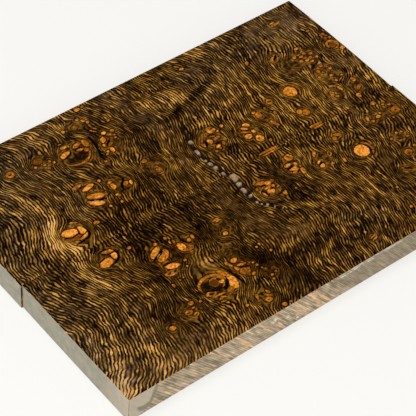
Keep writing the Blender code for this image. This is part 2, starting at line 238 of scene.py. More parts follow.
# Pale or dark sweeps through the wood: strength, width, then x, y along the sweep
NEAR_SWEEPS = [
    (1.1, 5.5, [(0, 2), (3, 7)]), (0.55, 3.6, [(3, 8), (6, 14), (9, 20), (11, 27), (12.5, 33)]),
    (0.5, 2.4, [(0, 27), (3, 24.5), (4, 21), (2, 16)]), (-0.4, 2.5, [(7, 24), (7.5, 20)]),
    (0.5, 2.8, [(15, 19), (14.5, 12), (13, 5)]), (0.7, 6.0, [(12, 2), (17, 3)]),
    (0.3, 6.0, [(23, 2), (34, 3)]), (0.3, 2.6, [(35.5, 6), (36, 9)]),
    (-0.45, 3.0, [(31, 13.5), (34, 11.5)]), (0.2, 6.0, [(41, 4), (48, 9)]),
    (0.2, 3.0, [(64, 5), (67, 9), (71, 7), (70, 2)]),
    (0.3, 1.8, [(60, 20), (62, 14.5), (67, 16.5), (75, 16.5)]),
    (0.5, 1.6, [(72, 28), (75, 24.5), (80, 22.5), (85, 21)]),
    (0.2, 2.4, [(86, 27), (92, 20), (97, 16), (99, 11)]),
    (0.75, 3.4, [(18.5, 46), (15, 41), (15.5, 36), (18.5, 31)]), (0.3, 3.0, [(27, 39), (29, 36)]),
    (0.3, 2.6, [(26.5, 33), (25, 27), (23.5, 21)]), (0.8, 3.0, [(41, 26), (42.5, 21), (43.5, 18)]),
    (0.2, 3.0, [(86, 41), (89, 37)]), (0.1, 22.0, [(104, 45), (102, 34)]),
    (0.2, 4.0, [(4, 32), (4, 38)]), (0.3, 4.0, [(41, 11), (44, 9)]),
    (-0.5, 6.0, [(53, 20), (56, 16), (59, 9), (61, 5)]),
    (-0.5, 3.0, [(60, 12), (66, 12.5), (75, 12.5)]), (-0.3, 4.0, [(84, 9), (88, 9)]),
    (-0.5, 5.0, [(35, 44), (33, 41), (32, 38)]), (-0.55, 4.5, [(50, 41), (49, 31)]),
    (-0.5, 3.6, [(30, 40), (29.5, 31), (30.5, 23)]), (-0.4, 3.6, [(26, 19), (24, 14), (21, 18)]),
    (-0.35, 3.0, [(8.5, 45), (9, 37)]), (-0.2, 2.4, [(12.5, 24), (11.5, 17)]),
    (0.3, 5.0, [(7, 14), (12, 11)]), (-0.25, 6.0, [(42, 42), (54, 42)]),
    (-0.5, 4.5, [(77, 39), (78, 33), (77, 28)]), (-0.25, 4.0, [(79, 28), (86, 28)]),
    (-0.2, 4.0, [(20, 8), (28, 9)]), (-1.6, 2.6, [(37.2, 17.6), (38.2, 16.0), (40.6, 15.2)]),
    (-0.6, 1.2, [(69.3, 29.5), (70.3, 26)]), (-0.25, 6.0, [(58, 34), (56, 28)]),
    (-0.35, 3.0, [(101, 31), (103, 35)]), (-0.2, 4.0, [(90, 18), (92, 14)]),
    (-0.3, 5.0, [(24, 20), (23, 14)]), (-0.5, 5.0, [(37.5, 40), (38.5, 27)]),
    (-0.3, 4.0, [(31, 19), (34, 17)]), (-0.3, 3.0, [(47, 30), (49, 36)]),
    (-0.5, 2.4, [(1, 8.5), (4, 7)]), (0.3, 2.4, [(7.5, 9), (9, 6)]), (0.3, 2.4, [(1, 1.5), (4.5, 2)]),
    (-0.3, 3.0, [(75, 7.5), (80, 7.5)]), (-0.2, 3.0, [(110, 38), (113, 37)]),
    (-0.25, 2.6, [(57, 17.5), (58, 16.5)]), (-0.3, 3.0, [(86, 24), (89, 22)]),
    (-0.35, 5.5, [(49, 8), (54, 17)]), (0.3, 3.0, [(30, 2), (35, 2)]), (0.2, 3.0, [(11, 2), (14, 2.5)]),
    (-0.3, 3.2, [(6, 31), (9.5, 33)]), (-0.3, 4.0, [(102, 17), (107, 22)]),
    (-0.25, 3.0, [(57, 43), (58, 40)]), (0.25, 2.6, [(99.5, 36), (106, 38)]),
    (-0.35, 5.0, [(62, 40), (63, 33)]), (-0.3, 5.0, [(52, 3), (60, 3)]),
    (-0.2, 6.0, [(60, 24), (66, 24)]),
]
# Grey stretches, partly ashy wood and partly a painted sheen, or redder where negative: strength, width,
# then x, y
NEAR_ASH_AND_SHEEN = [
    (0.75, 12.0, [(0, 45), (2, 20), (4, 0)]), (0.35, 10.0, [(13, 45), (14, 20), (16, 0)]),
    (0.3, 8.0, [(25, 3), (37, 3)]), (0.5, 12.0, [(86, 12), (96, 12)]), (0.2, 8.0, [(74, 5), (84, 5)]),
    (-0.35, 9.0, [(33, 34), (38, 30), (45, 31)]), (-0.4, 8.0, [(43, 17), (50, 17), (56, 14)]),
    (0.2, 12.0, [(114, 34), (110, 36)]),
]
# Nests, where the wood is gnarled and dark round a group of eyes: x, y, length, width, lean
NEAR_NESTS = [
    (23.2, 40.0, 8.5, 6.0, 10), (34.6, 30.6, 6.5, 13.0, 0), (41.9, 31.8, 6.5, 7.5, 0),
    (40.8, 15.9, 12.0, 9.5, 10), (49.3, 17.3, 6.5, 8.0, 0), (28.5, 13.5, 7.5, 5.5, 0),
    (22.2, 11.9, 4.6, 4.2, 0), (47.4, 5.6, 6.0, 5.0, 0), (53.6, 30.8, 5.5, 8.5, 0),
    (72.6, 34.3, 7.5, 9.0, 0), (83.3, 37.4, 5.5, 8.5, 0), (91.2, 34.2, 5.0, 8.0, -20),
    (100.5, 39.0, 5.0, 3.6, 0), (103.1, 30.8, 6.8, 6.6, 0), (114.0, 38.3, 7.0, 5.0, 0),
    (120.6, 38.6, 5.5, 6.0, 0), (112.9, 22.6, 4.0, 3.8, 0), (108.6, 17.9, 4.5, 4.0, 35),
    (83.8, 4.8, 4.4, 2.8, 0), (115.0, 28.8, 6.0, 4.5, 0), (50.0, 23.8, 6.0, 4.0, 0),
    (55.0, 12.0, 5.0, 5.0, 0),
]
# Hazy stretches, where the lines nearly close up: strength, width, then x, y along the stretch
NEAR_HAZE = [
    (0.9, 7.0, [(61, 44), (61, 30), (64, 22), (70, 18)]),
    (1.1, 4.5, [(40.6, 27), (42, 23.5), (43.5, 20.4)]), (0.5, 3.0, [(22, 36), (26, 35.5)]),
    (0.6, 4.0, [(49, 23), (54, 22)]), (0.6, 4.0, [(56, 12), (58, 6)]),
    (0.5, 3.5, [(19, 22), (20, 12), (24, 7), (30, 8)]), (0.6, 4.0, [(106, 22), (110, 27)]),
    (0.5, 5.0, [(124, 44), (124, 30)]), (0.5, 3.0, [(86, 13), (90, 11)]),
    (0.6, 4.5, [(5, 31), (10, 29), (13, 33)]), (0.55, 6.0, [(10, 3), (20, 4)]),
    (0.6, 6.0, [(0, 3), (6, 7)]), (0.35, 8.0, [(4, 18), (16, 14)]), (0.35, 6.0, [(22, 7), (27, 4)]),
    (0.5, 3.0, [(4, 43), (9, 43)]), (0.5, 3.6, [(28, 36), (28, 32)]), (0.6, 4.0, [(47, 38), (48, 30)]),
    (0.3, 4.5, [(20, 2), (60, 2), (96, 2)]), (0.45, 4.0, [(68, 7), (62, 17)]),
    (0.4, 4.0, [(52, 8), (56, 8)]), (0.35, 4.0, [(1, 39), (2, 22), (2, 12)]),
    (0.7, 4.5, [(112, 45), (112, 41)]), (0.4, 4.0, [(2, 39), (8, 37)]),
    (0.4, 3.5, [(91, 44), (94, 41)]), (0.5, 2.6, [(37, 24.5), (37.5, 21)]),
    (0.4, 3.5, [(36, 40), (38, 37)]), (0.35, 4.0, [(105, 24), (108, 21)]),
    (0.4, 3.5, [(102, 35), (103, 37)]),
]


def pick_edges(axis, shortest):
    """In edit mode, select only the long edges that run along an axis."""
    bpy.ops.mesh.select_all(action="DESELECT")
    mesh = bmesh.from_edit_mesh(bpy.context.object.data)
    for edge in mesh.edges:
        run = edge.verts[1].co - edge.verts[0].co
        edge.select_set(abs(run[axis]) > ALIGNED * run.length and run.length > shortest)
    bmesh.update_edit_mesh(bpy.context.object.data)


def pick_faces(wanted):
    """In edit mode, select only the faces for which the list of flags is set."""
    bpy.ops.mesh.select_all(action="DESELECT")
    mesh = bmesh.from_edit_mesh(bpy.context.object.data)
    mesh.faces.ensure_lookup_table()
    for index in np.flatnonzero(wanted):
        mesh.faces[int(index)].select_set(True)
    bmesh.update_edit_mesh(bpy.context.object.data)


def face_places(slab):
    """The middle of each face of the slab, and its normal, with the slab back in edit mode."""
    bpy.ops.object.mode_set(mode="OBJECT")
    faces = slab.data.polygons
    middle = np.empty(3 * len(faces))
    normal = np.empty(3 * len(faces))
    faces.foreach_get("center", middle)
    faces.foreach_get("normal", normal)
    bpy.ops.object.mode_set(mode="EDIT")
    return middle.reshape(-1, 3), normal.reshape(-1, 3)


def plan_places(points):
    """Points in metres as x and y on the figure and the depth below the show face, in millimetres."""
    x = (points[:, 0] - LEFT_X) / MM
    y = (points[:, 1] - OUTER_Y) / MM
    return x, y, (TOP_Z - points[:, 2]) / MM


def nearest_on_route(x, y, route):
    """Distance to a route of straight runs, and how far along it, from 0 to 1, the nearest point is."""
    best = np.full(x.shape, 1e9)
    share = np.zeros(x.shape)
    points = np.array(route, float)[:, :2]
    lengths = np.hypot(*(points[1:] - points[:-1]).T)
    before = 0.0
    for start, end, length in zip(points[:-1], points[1:], lengths):
        step = (end - start) / length
        along = np.clip((x - start[0]) * step[0] + (y - start[1]) * step[1], 0.0, length)
        away = np.hypot(x - start[0] - along * step[0], y - start[1] - along * step[1])
        closer = away < best
        best = np.where(closer, away, best)
        share = np.where(closer, (before + along) / lengths.sum(), share)
        before += length
    return best, share


def smooth_route(route, rounds=2):
    """Corner cutting, so that a route of a few points bends smoothly."""
    points = np.array(route, float)
    for _ in range(rounds):
        first = 0.75 * points[:-1] + 0.25 * points[1:]
        second = 0.25 * points[:-1] + 0.75 * points[1:]
        middle = np.stack([first, second], 1).reshape(-1, points.shape[1])
        points = np.vstack([points[:1], middle[1:-1], points[-1:]])
    return points


def eye_depth(x, y, eyes, rims):
    """How far inside the nearest eye or rim each place is, in millimetres, negative outside."""
    inside = np.full(x.shape, -9.0)
    number = np.zeros(x.shape)
    for index, (ex, ey, length, width, lean, *_) in enumerate(eyes):
        c, s = math.cos(math.radians(lean)), math.sin(math.radians(lean))
        u = ((x - ex) * c + (y - ey) * s) / (length / 2)
        v = ((y - ey) * c - (x - ex) * s) / (width / 2)
        radius = np.hypot(u, v) + 1e-9
        away = np.hypot(x - ex, y - ey)
        depth = np.where(radius > 1, -away * (1 - 1 / radius), (1 - radius) * min(length, width) / 2)
        number = np.where(depth > inside, index, number)
        inside = np.maximum(inside, depth)
    for index, (width, route) in enumerate(rims):
        away, share = nearest_on_route(x, y, smooth_route(route))
        half = width / 2 * np.sqrt(np.clip(4 * share * (1 - share), 0.05, 1.0))
        depth = half - away
        number = np.where(depth > inside, len(eyes) + index, number)
        inside = np.maximum(inside, depth)
    return inside, number


def shake_depth(x, y, shakes):
    """How far inside the nearest shake each place is, in millimetres, negative outside."""
    inside = np.full(x.shape, -9.0)
    for width, route in shakes:
        away, share = nearest_on_route(x, y, smooth_route(route))
        half = width / 2 * np.clip(5 * share * (1 - share), 0.2, 1.0) ** 0.5
        inside = np.maximum(inside, half - away)
    return inside


def bark_depth(x, y, bark):
    """How far inside the bark seam's channel each place is, in millimetres, negative outside."""
    route = smooth_route(bark)
    away, share = nearest_on_route(x, y, route)
    lengths = np.hypot(*(route[1:, :2] - route[:-1, :2]).T)
    stations = np.concatenate([[0.0], np.cumsum(lengths)]) / lengths.sum()
    return np.interp(share, stations, route[:, 2]) / 2 - away


def lump_height(x, y, lumps):
    """Height of the bark lumps, from 0 at a lump's foot to 1 on its top."""
    height = np.zeros(x.shape)
    for lx, ly, width, length, lean in lumps:
        c, s = math.cos(math.radians(lean)), math.sin(math.radians(lean))
        u = ((x - lx) * c - (y - ly) * s) / (width / 2)
        v = ((y - ly) * c + (x - lx) * s) / (length / 2)
        ring = (np.abs(u) ** 3 + np.abs(v) ** 3) ** (1 / 3)
        height = np.maximum(height, np.clip((1.15 - ring) / 0.45, 0.0, 1.0))
    return height * height * (3 - 2 * height)


def sweep_tone(x, y, sweeps):
    """Sum of the pale and dark sweeps."""
    tone = np.zeros(x.shape)
    for strength, width, route in sweeps:
        away, _ = nearest_on_route(x, y, smooth_route(route))
        tone += strength * np.exp(-((away / (0.6 * width)) ** 2))
    return tone


# On the long side the figure shows as thin lines, crossed by the streaks of a knot: width, then x
# and depth along the streak.  The corner by the left end is plain sapwood with a dark stain along its
# edge.  The sawn edge is chipped white here and there, and white painted along its top stands for a
# highlight where the edge catches the light.
SIDE_STREAKS = [
    (1.3, [(57.0, 0.1), (58.6, 1.2), (60.2, 3.0)]), (0.9, [(58.8, 3.2), (60.6, 5.4), (62.3, 8.6)]),
    (0.9, [(61.2, 3.2), (63.2, 5.6), (66.0, 8.7)]), (0.6, [(59.4, 0.2), (61.4, 3.0)]),
    (0.5, [(62.2, 6.4), (63.8, 8.6)]), (0.45, [(52.7, -0.2), (55.0, 3.6), (57.5, 6.9)]),
    (0.5, [(47.4, 4.4), (50.4, 8.6)]), (0.9, [(53.5, 5.3), (54.1, 5.8)]),
    (0.8, [(33.0, 0.0), (36.0, 4.0), (39.4, 8.4)]), (0.45, [(41.0, 0.6), (44.4, 6.0)]),
    (0.3, [(27.0, 1.0), (30.4, 6.0)]),
]
SIDE_STAIN = [
    (1.2, [(8.8, -0.4), (7.9, 2.0), (7.2, 4.4), (6.2, 6.2)]),
    (1.9, [(7.0, 5.4), (5.2, 6.5), (3.9, 6.3), (2.9, 5.2)]),
]
SIDE_CHIPS_AND_GLINTS = [
    (0.5, [(67.0, 1.0), (71.0, 1.3), (75.0, 0.9)]), (0.5, [(76.5, 1.0), (80.0, 1.2)]),
    (0.4, [(82.5, 0.9), (90.0, 0.7)]), (0.35, [(66.0, 0.35), (74.0, 0.3), (82.0, 0.35), (88.0, 0.3)]),
    (1.5, [(45.4, 3.2), (46.6, 2.6)]), (1.0, [(50.2, 4.5), (50.8, 4.3)]),
    (1.0, [(54.0, 7.2), (54.6, 6.8)]), (0.3, [(35.0, 0.5), (44.0, 0.5)]),
]
SIDE_SKIN = 0.3
PLAIN_CORNER = [(8.6, 0.0), (7.4, 3.4), (6.6, 6.0), (3.6, 8.7)]


def plain_wood(x, y, depth, side):
    """Where the sawn faces show plain sapwood: the left end and the corner beside it."""
    plain = np.clip((1.5 - x) / 1.0, 0, 1)
    if side < 0:
        corner = np.interp(depth, [d for _, d in PLAIN_CORNER], [c for c, _ in PLAIN_CORNER])
        plain = np.maximum(plain, np.clip((corner - x) / 0.6, 0, 1) * (y < SIDE_SKIN))
    return plain


# The grain is one field through the whole block: the lines follow the guide directions and bend
# round the nests.  It is worked out on a grid over the figure, with its pitch in millimetres.
FIELD_PITCH = 0.5
FIELD_START = (-10.0, -3.0)
FIELD_SIZE = (296, 194)
GUIDE_SOFTNESS = 2.25
GUIDE_FALL = -1.6
NEST_RADIUS = 0.46


def climb(slope_x, slope_y):
    """The surface whose slopes come closest to the given ones, by a mirrored Fourier solve."""
    rows, columns = slope_x.shape
    push_x = np.zeros((rows, columns))
    push_y = np.zeros((rows, columns))
    push_x[:, :-1] = 0.5 * (slope_x[:, :-1] + slope_x[:, 1:]) * FIELD_PITCH
    push_y[:-1, :] = 0.5 * (slope_y[:-1, :] + slope_y[1:, :]) * FIELD_PITCH
    spread = push_x + push_y
    spread[:, 1:] -= push_x[:, :-1]
    spread[1:, :] -= push_y[:-1, :]
    whole = np.block([[spread, spread[:, ::-1]], [spread[::-1], spread[::-1, ::-1]]])
    waves = np.fft.fft2(whole)
    bend_y = 2 * np.cos(np.pi * np.arange(2 * rows) / rows) - 2
    bend_x = 2 * np.cos(np.pi * np.arange(2 * columns) / columns) - 2
    bend = bend_y[:, None] + bend_x[None, :]
    bend[0, 0] = 1.0
    waves /= bend
    waves[0, 0] = 0.0
    return np.real(np.fft.ifft2(waves))[:rows, :columns]


def grain_fields(guides, fine, nests):
    """Grain lines crossed, and distance along the grain, over the whole figure."""
    xs = FIELD_START[0] + FIELD_PITCH * np.arange(FIELD_SIZE[0])
    ys = FIELD_START[1] + FIELD_PITCH * np.arange(FIELD_SIZE[1])
    x, y = np.meshgrid(xs, ys)
    double_cos = np.zeros(x.shape)
    double_sin = np.zeros(x.shape)
    for gx, gy, degrees in guides:
        weight = ((x - gx) ** 2 + (y - gy) ** 2 + GUIDE_SOFTNESS) ** GUIDE_FALL
        double_cos += weight * math.cos(2 * math.radians(degrees))
        double_sin += weight * math.sin(2 * math.radians(degrees))
    lean = (0.5 * np.arctan2(double_sin, double_cos)) % math.pi
    per_mm = (1 + sweep_tone(x, y, fine)) / GRAIN_SPACING
    across = climb(np.sin(lean) * per_mm, -np.cos(lean) * per_mm)
    along = climb(np.cos(lean), np.sin(lean))
    slope_y, slope_x = np.gradient(across, FIELD_PITCH)
    bent = across.copy()
    for ex, ey, length, width, _ in nests:
        radius = NEST_RADIUS * math.sqrt(length * width)
        row = int(round((ey - FIELD_START[1]) / FIELD_PITCH))
        column = int(round((ex - FIELD_START[0]) / FIELD_PITCH))
        climbs = slope_x[row, column] * (x - ex) + slope_y[row, column] * (y - ey)
        away = (x - ex) ** 2 + (y - ey) ** 2
        reach = np.exp(-away / (2.0 * radius) ** 2)
        bent -= climbs * radius ** 2 / np.maximum(away, radius ** 2) * reach
    return bent, along


def read_field(field, x, y):
    """A field's value at each place, between its grid points."""
    column = np.clip((x - FIELD_START[0]) / FIELD_PITCH, 0, FIELD_SIZE[0] - 1.001)
    row = np.clip((y - FIELD_START[1]) / FIELD_PITCH, 0, FIELD_SIZE[1] - 1.001)
    c0, r0 = column.astype(int), row.astype(int)
    fc, fr = column - c0, row - r0
    lower = field[r0, c0] * (1 - fc) + field[r0, c0 + 1] * fc
    upper = field[r0 + 1, c0] * (1 - fc) + field[r0 + 1, c0 + 1] * fc
    return lower * (1 - fr) + upper * fr


def keep(mesh, name, values):
    """Store one number, or three, for each point of a mesh."""
    kind, slot = ("FLOAT_VECTOR", "vector") if values.ndim == 2 else ("FLOAT", "value")
    layer = mesh.attributes.new(name, kind, "POINT")
    layer.data.foreach_set(slot, values.astype(np.float32).ravel())


def sawn_blank(name, low, high):
    """A slab from a cube: edges broken but along the seam, and a finer grid on the show face."""
    bpy.ops.object.select_all(action="DESELECT")
    middle = (Vector(low) + Vector(high)) / 2
    size = Vector(high) - Vector(low)
    bpy.ops.mesh.primitive_cube_add(size=1.0, location=middle)
    slab = bpy.context.object
    slab.name = name
    slab.scale = size
    bpy.ops.object.transform_apply(location=True, rotation=False, scale=True)
    bpy.ops.object.mode_set(mode="EDIT")
    bpy.ops.mesh.select_mode(type="EDGE")
    bpy.ops.mesh.select_all(action="DESELECT")
    cube = bmesh.from_edit_mesh(slab.data)
    for edge in cube.edges:
        edge.select_set(any(abs(vertex.co.y) > OFF_SEAM for vertex in edge.verts))
    bmesh.update_edit_mesh(slab.data)
    bpy.ops.mesh.bevel(offset=EDGE_BREAK, segments=2)
    for axis in range(3):
        pick_edges(axis, LONG_EDGE)
        bpy.ops.mesh.subdivide(number_cuts=round(size[axis] / BACK_PITCH) - 1)
    bpy.ops.mesh.select_mode(type="FACE")
    _, normals = face_places(slab)
    pick_faces(normals[:, 2] > ALIGNED)
    bpy.ops.mesh.subdivide(number_cuts=1)
    return slab


WIDE_MARGIN = 0.7
CLOSE_MARGIN = 0.3


def refine_blank(slab, side, eyes, rims, shakes, bark):
    """Finer faces on the near long side, and on the show face round all that is cut in it."""
    for _ in range(2 if side < 0 else 0):
        _, normals = face_places(slab)
        pick_faces(normals[:, 1] < -ALIGNED)
        bpy.ops.mesh.subdivide(number_cuts=1)
    for margin in (WIDE_MARGIN, CLOSE_MARGIN):
        places, normals = face_places(slab)
        x, y, _ = plan_places(places)
        top = normals[:, 2] > ALIGNED
        cut = np.maximum(shake_depth(x[top], y[top], shakes), bark_depth(x[top], y[top], bark))
        if margin == WIDE_MARGIN:
            cut = np.maximum(cut, eye_depth(x[top], y[top], eyes, rims)[0])
        wanted = np.zeros(len(places), bool)
        wanted[top] = cut > -margin
        pick_faces(wanted)
        bpy.ops.mesh.subdivide(number_cuts=1)
    bpy.ops.object.mode_set(mode="OBJECT")


def bow_ends(points, low, high, bows):
    """Belly the sawn ends out by the given amounts, in metres."""
    share = 1 - (2 * (points[:, 1] - (low[1] + high[1]) / 2) / (high[1] - low[1])) ** 2
    reach = (points[:, 0] - low[0]) / (high[0] - low[0])
    points[:, 0] -= bows[0] * share * (1 - reach)
    points[:, 0] += bows[1] * share * reach
    return points


SHAKE_SINK = 0.9
BARK_SINK = 0.75
LUMP_RISE = 0.62
EYE_SINK = 0.035


def sink_depth(inside, shake, channel, lump):
    """How deep the show face is cut, in millimetres: shakes, the bark channel, and eyes a little."""
    sink = (SHAKE_SINK - LUMP_RISE * lump) * np.clip(shake / 0.2, 0, 1) ** 0.7
    floor = BARK_SINK * np.clip(channel / 0.35, 0, 1) ** 0.6 - LUMP_RISE * lump * (channel > 0)
    sink = np.maximum(sink, floor)
    return np.maximum(sink, EYE_SINK * np.clip(inside / 0.3, 0, 1))


PLAIN_SHADE = 0.62
RIM_SHADE = 0.6
SHADE_SPREAD = 0.12


def eye_shades(eyes, rims, seed):
    """A shade for each eye and rim: the given one, or one that suits its size, a little at random."""
    shades = [eye[5] if len(eye) > 5 else PLAIN_SHADE - 0.03 * min(eye[2], eye[3]) for eye in eyes]
    shades += [RIM_SHADE] * len(rims)
    draws = np.random.default_rng(seed)
    return np.array(shades) + draws.uniform(-SHADE_SPREAD, SHADE_SPREAD, len(shades))


def carve_scale(name, node, low, high, bows, figure, side, seed):
    """The whole scale: blank, refined where something is cut in it, carved, with its figure kept."""
    guides, fine, eyes, rims, shakes, bark, lumps, sweeps, ash_and_sheen, nests, haze = figure
    slab = sawn_blank(name, low, high)
    refine_blank(slab, side, eyes, rims, shakes, bark)
    mesh = slab.data
    points = np.empty(3 * len(mesh.vertices))
    mesh.vertices.foreach_get("co", points)
    points = bow_ends(points.reshape(-1, 3), low, high, bows)
    x, y, depth = plan_places(points)
    figure_x = x + side * GRAIN_SLANT * depth
    across, along = grain_fields(guides, fine, nests)
    inside, number = eye_depth(figure_x, y, eyes, rims)
    nest, _ = eye_depth(figure_x, y, nests, [])
    shake = shake_depth(x, y, shakes)
    channel = bark_depth(x, y, bark)
    lump = lump_height(x, y, lumps)
    points[:, 2] -= np.where(depth < 0.02, sink_depth(inside, shake, channel, lump), 0.0) * MM
    mesh.vertices.foreach_set("co", points.ravel())
    layer = 0.25 * depth + (0.0 if side < 0 else 0.5)
    on_top = np.clip(1 - depth / 0.3, 0, 1)
    on_side = (y < SIDE_SKIN) & (side < 0)
    kept_figure = {
        "grain": read_field(across, figure_x, y),
        "run": read_field(along, figure_x, y),
        "block": np.stack([figure_x, np.abs(y - SEAM_Y), layer], 1),
        "eye": np.clip(inside, -6, 3),
        "tint": eye_shades(eyes, rims, seed)[number.astype(int)],
        "shake": np.clip(shake / 0.1 + 0.8, 0, 1) * on_top,
        "bark": np.clip(channel / 0.12 + 0.5, 0, 1) * on_top,
        "lump": lump * on_top,
        "tone": sweep_tone(figure_x, y, sweeps),
        "nest": np.clip(nest, -3, 3),
        "haze": sweep_tone(figure_x, y, haze),
        "ash_and_sheen": sweep_tone(figure_x, y, ash_and_sheen),
        "plain": plain_wood(x, y, depth, side),
        "knot": np.clip(shake_depth(x, depth, SIDE_STREAKS), -1, 1) * on_side - 1.0 * ~on_side,
        "stain": np.clip(shake_depth(x, depth, SIDE_STAIN) / 0.4 + 0.5, 0, 1) * on_side,
        "chip_and_glint": np.clip(shake_depth(x, depth, SIDE_CHIPS_AND_GLINTS) / 0.3 + 0.4, 0, 1) * on_side,
    }
    for title, values in kept_figure.items():
        keep(mesh, title, values)
    mesh.update()
    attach(slab, "root")
    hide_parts(node)
    return slab


# Both finishes are patterns in the wood that read what is kept on the mesh.  The show face is sanded
# and oiled until it shines a little, and the sides stay dry and pale as the saw left them.


def feed(tree, socket, value):
    """Set a socket to a number or a colour, or join it to another node's socket."""
    if isinstance(value, bpy.types.NodeSocket):
        tree.links.new(value, socket)
    else:
        socket.default_value = value


def put(tree, kind, settings=(), **inputs):
    """Add a shader node; each named input takes a number, a colour or another node's socket."""
    node = tree.nodes.new(kind)
    for key, value in dict(settings).items():
        setattr(node, key, value)
    for key, value in inputs.items():
        feed(tree, node.inputs[key.replace("_", " ")], value)
    return node


def calc(tree, operation, *operands, clamp=False):
    """A Math node on numbers and sockets."""
    node = tree.nodes.new("ShaderNodeMath")
    node.operation = operation
    node.use_clamp = clamp
    for socket, value in zip(node.inputs, operands):
        feed(tree, socket, value)
    return node.outputs[0]


def plus(tree, base, value, share, clamp=False):
    """The base plus a share of a value."""
    return calc(tree, "MULTIPLY_ADD", value, share, base, clamp=clamp)


def times(tree, first, second):
    """The product of two numbers."""
    return calc(tree, "MULTIPLY", first, second)


def step(tree, value, low, high):
    """A smooth step from 0 at low to 1 at high."""
    smooth = {"interpolation_type": "SMOOTHSTEP"}
    node = put(tree, "ShaderNodeMapRange", smooth, Value=value, From_Min=low, From_Max=high)
    return node.outputs["Result"]


def blend(tree, factor, first, second, mode="MIX"):
    """Mix two colours."""
    node = tree.nodes.new("ShaderNodeMix")
    node.data_type = "RGBA"
    node.blend_type = mode
    node.clamp_factor = True
    for index, value in ((0, factor), (6, first), (7, second)):
        feed(tree, node.inputs[index], value)
    return node.outputs[2]


def point(tree, x, y, z):
    """A vector of three numbers."""
    return put(tree, "ShaderNodeCombineXYZ", X=x, Y=y, Z=z).outputs[0]


def kept(tree, name):
    """A number kept on the mesh."""
    return put(tree, "ShaderNodeAttribute", {"attribute_name": name}).outputs["Fac"]


def grit(tree, place, scale, detail=2.0):
    """Noise about zero at a place, with features one over scale apart."""
    node = put(tree, "ShaderNodeTexNoise", Vector=place, Scale=scale, Detail=detail)
    return calc(tree, "SUBTRACT", node.outputs["Fac"], 0.5)


def ramp(tree, factor, stops):
    """A colour ramp."""
    node = put(tree, "ShaderNodeValToRGB", Fac=factor)
    band = node.color_ramp.elements
    while len(band) < len(stops):
        band.new(0.5)
    for mark, (place, color) in zip(band, stops):
        mark.position = place
        mark.color = (*color, 1.0)
    return node.outputs["Color"]


def new_wood(name):
    """A material, its node tree, and the place in the block, which all of its patterns read."""
    material = bpy.data.materials.new(name)
    material.use_nodes = True
    tree = material.node_tree
    block = put(tree, "ShaderNodeAttribute", {"attribute_name": "block"}).outputs["Vector"]
    return material, tree, block


def finish_wood(tree, color, height, strength, distance):
    """Join the colour and a shallow bump to the material's shader, and give the shader back."""
    shader = tree.nodes["Principled BSDF"]
    bump = put(tree, "ShaderNodeBump", Height=height, Strength=strength, Distance=distance)
    feed(tree, shader.inputs["Base Color"], color)
    feed(tree, shader.inputs["Normal"], bump.outputs["Normal"])
    return shader


# The ripples of the grain: how fast each runs along and across the lines, and its strength
LINE_RIPPLES = ((0.42, 0.14, 0.95), (1.1, 0.35, 0.35))
# Its wide and its close wavering: scale, detail and strength
BLOCK_WAVERS = ((0.2, 0.0, 1.9), (0.8, 1.0, 0.45))


def grain_place(tree, block, waver):
    """Number of grain lines crossed at a place, with the ripple that runs across the lines together."""
    grain, run = kept(tree, "grain"), kept(tree, "run")
    layer = put(tree, "ShaderNodeSeparateXYZ", Vector=block).outputs["Z"]
    place = grain
    for along, across, strength in LINE_RIPPLES:
        spot = point(tree, times(tree, run, along), times(tree, grain, across), layer)
        place = plus(tree, place, grit(tree, spot, 1.0, 0.0), strength * waver)
    for scale, detail, strength in BLOCK_WAVERS:
        place = plus(tree, place, grit(tree, block, scale, detail), strength * waver)
    return place, run, layer


def line_crest(tree, place):
    """How high a place is on its grain line, from 0 between two lines to 1 on the line's middle."""
    return times(tree, calc(tree, "PINGPONG", place, 0.5), 2.0)


def line_noise(tree, run, line, layer, stretch, shift):
    """Noise that follows one line at a time, about zero."""
    spot = point(tree, times(tree, run, stretch), plus(tree, shift, line, 1.37), layer)
    return grit(tree, spot, 1.0, 1.0)


GROUND_COLORS = [
    (0.0, (0.002, 0.0006, 0.0001)), (0.32, (0.017, 0.0070, 0.0012)), (0.62, (0.066, 0.030, 0.0065)),
    (0.82, (0.15, 0.072, 0.017)), (1.0, (0.34, 0.175, 0.050)),
]
GOLD_COLORS = [
    (0.0, (0.055, 0.024, 0.003)), (0.35, (0.19, 0.085, 0.010)), (0.65, (0.42, 0.20, 0.030)),
    (1.0, (0.56, 0.29, 0.072)),
]
GOLD_EDGE = 0.14


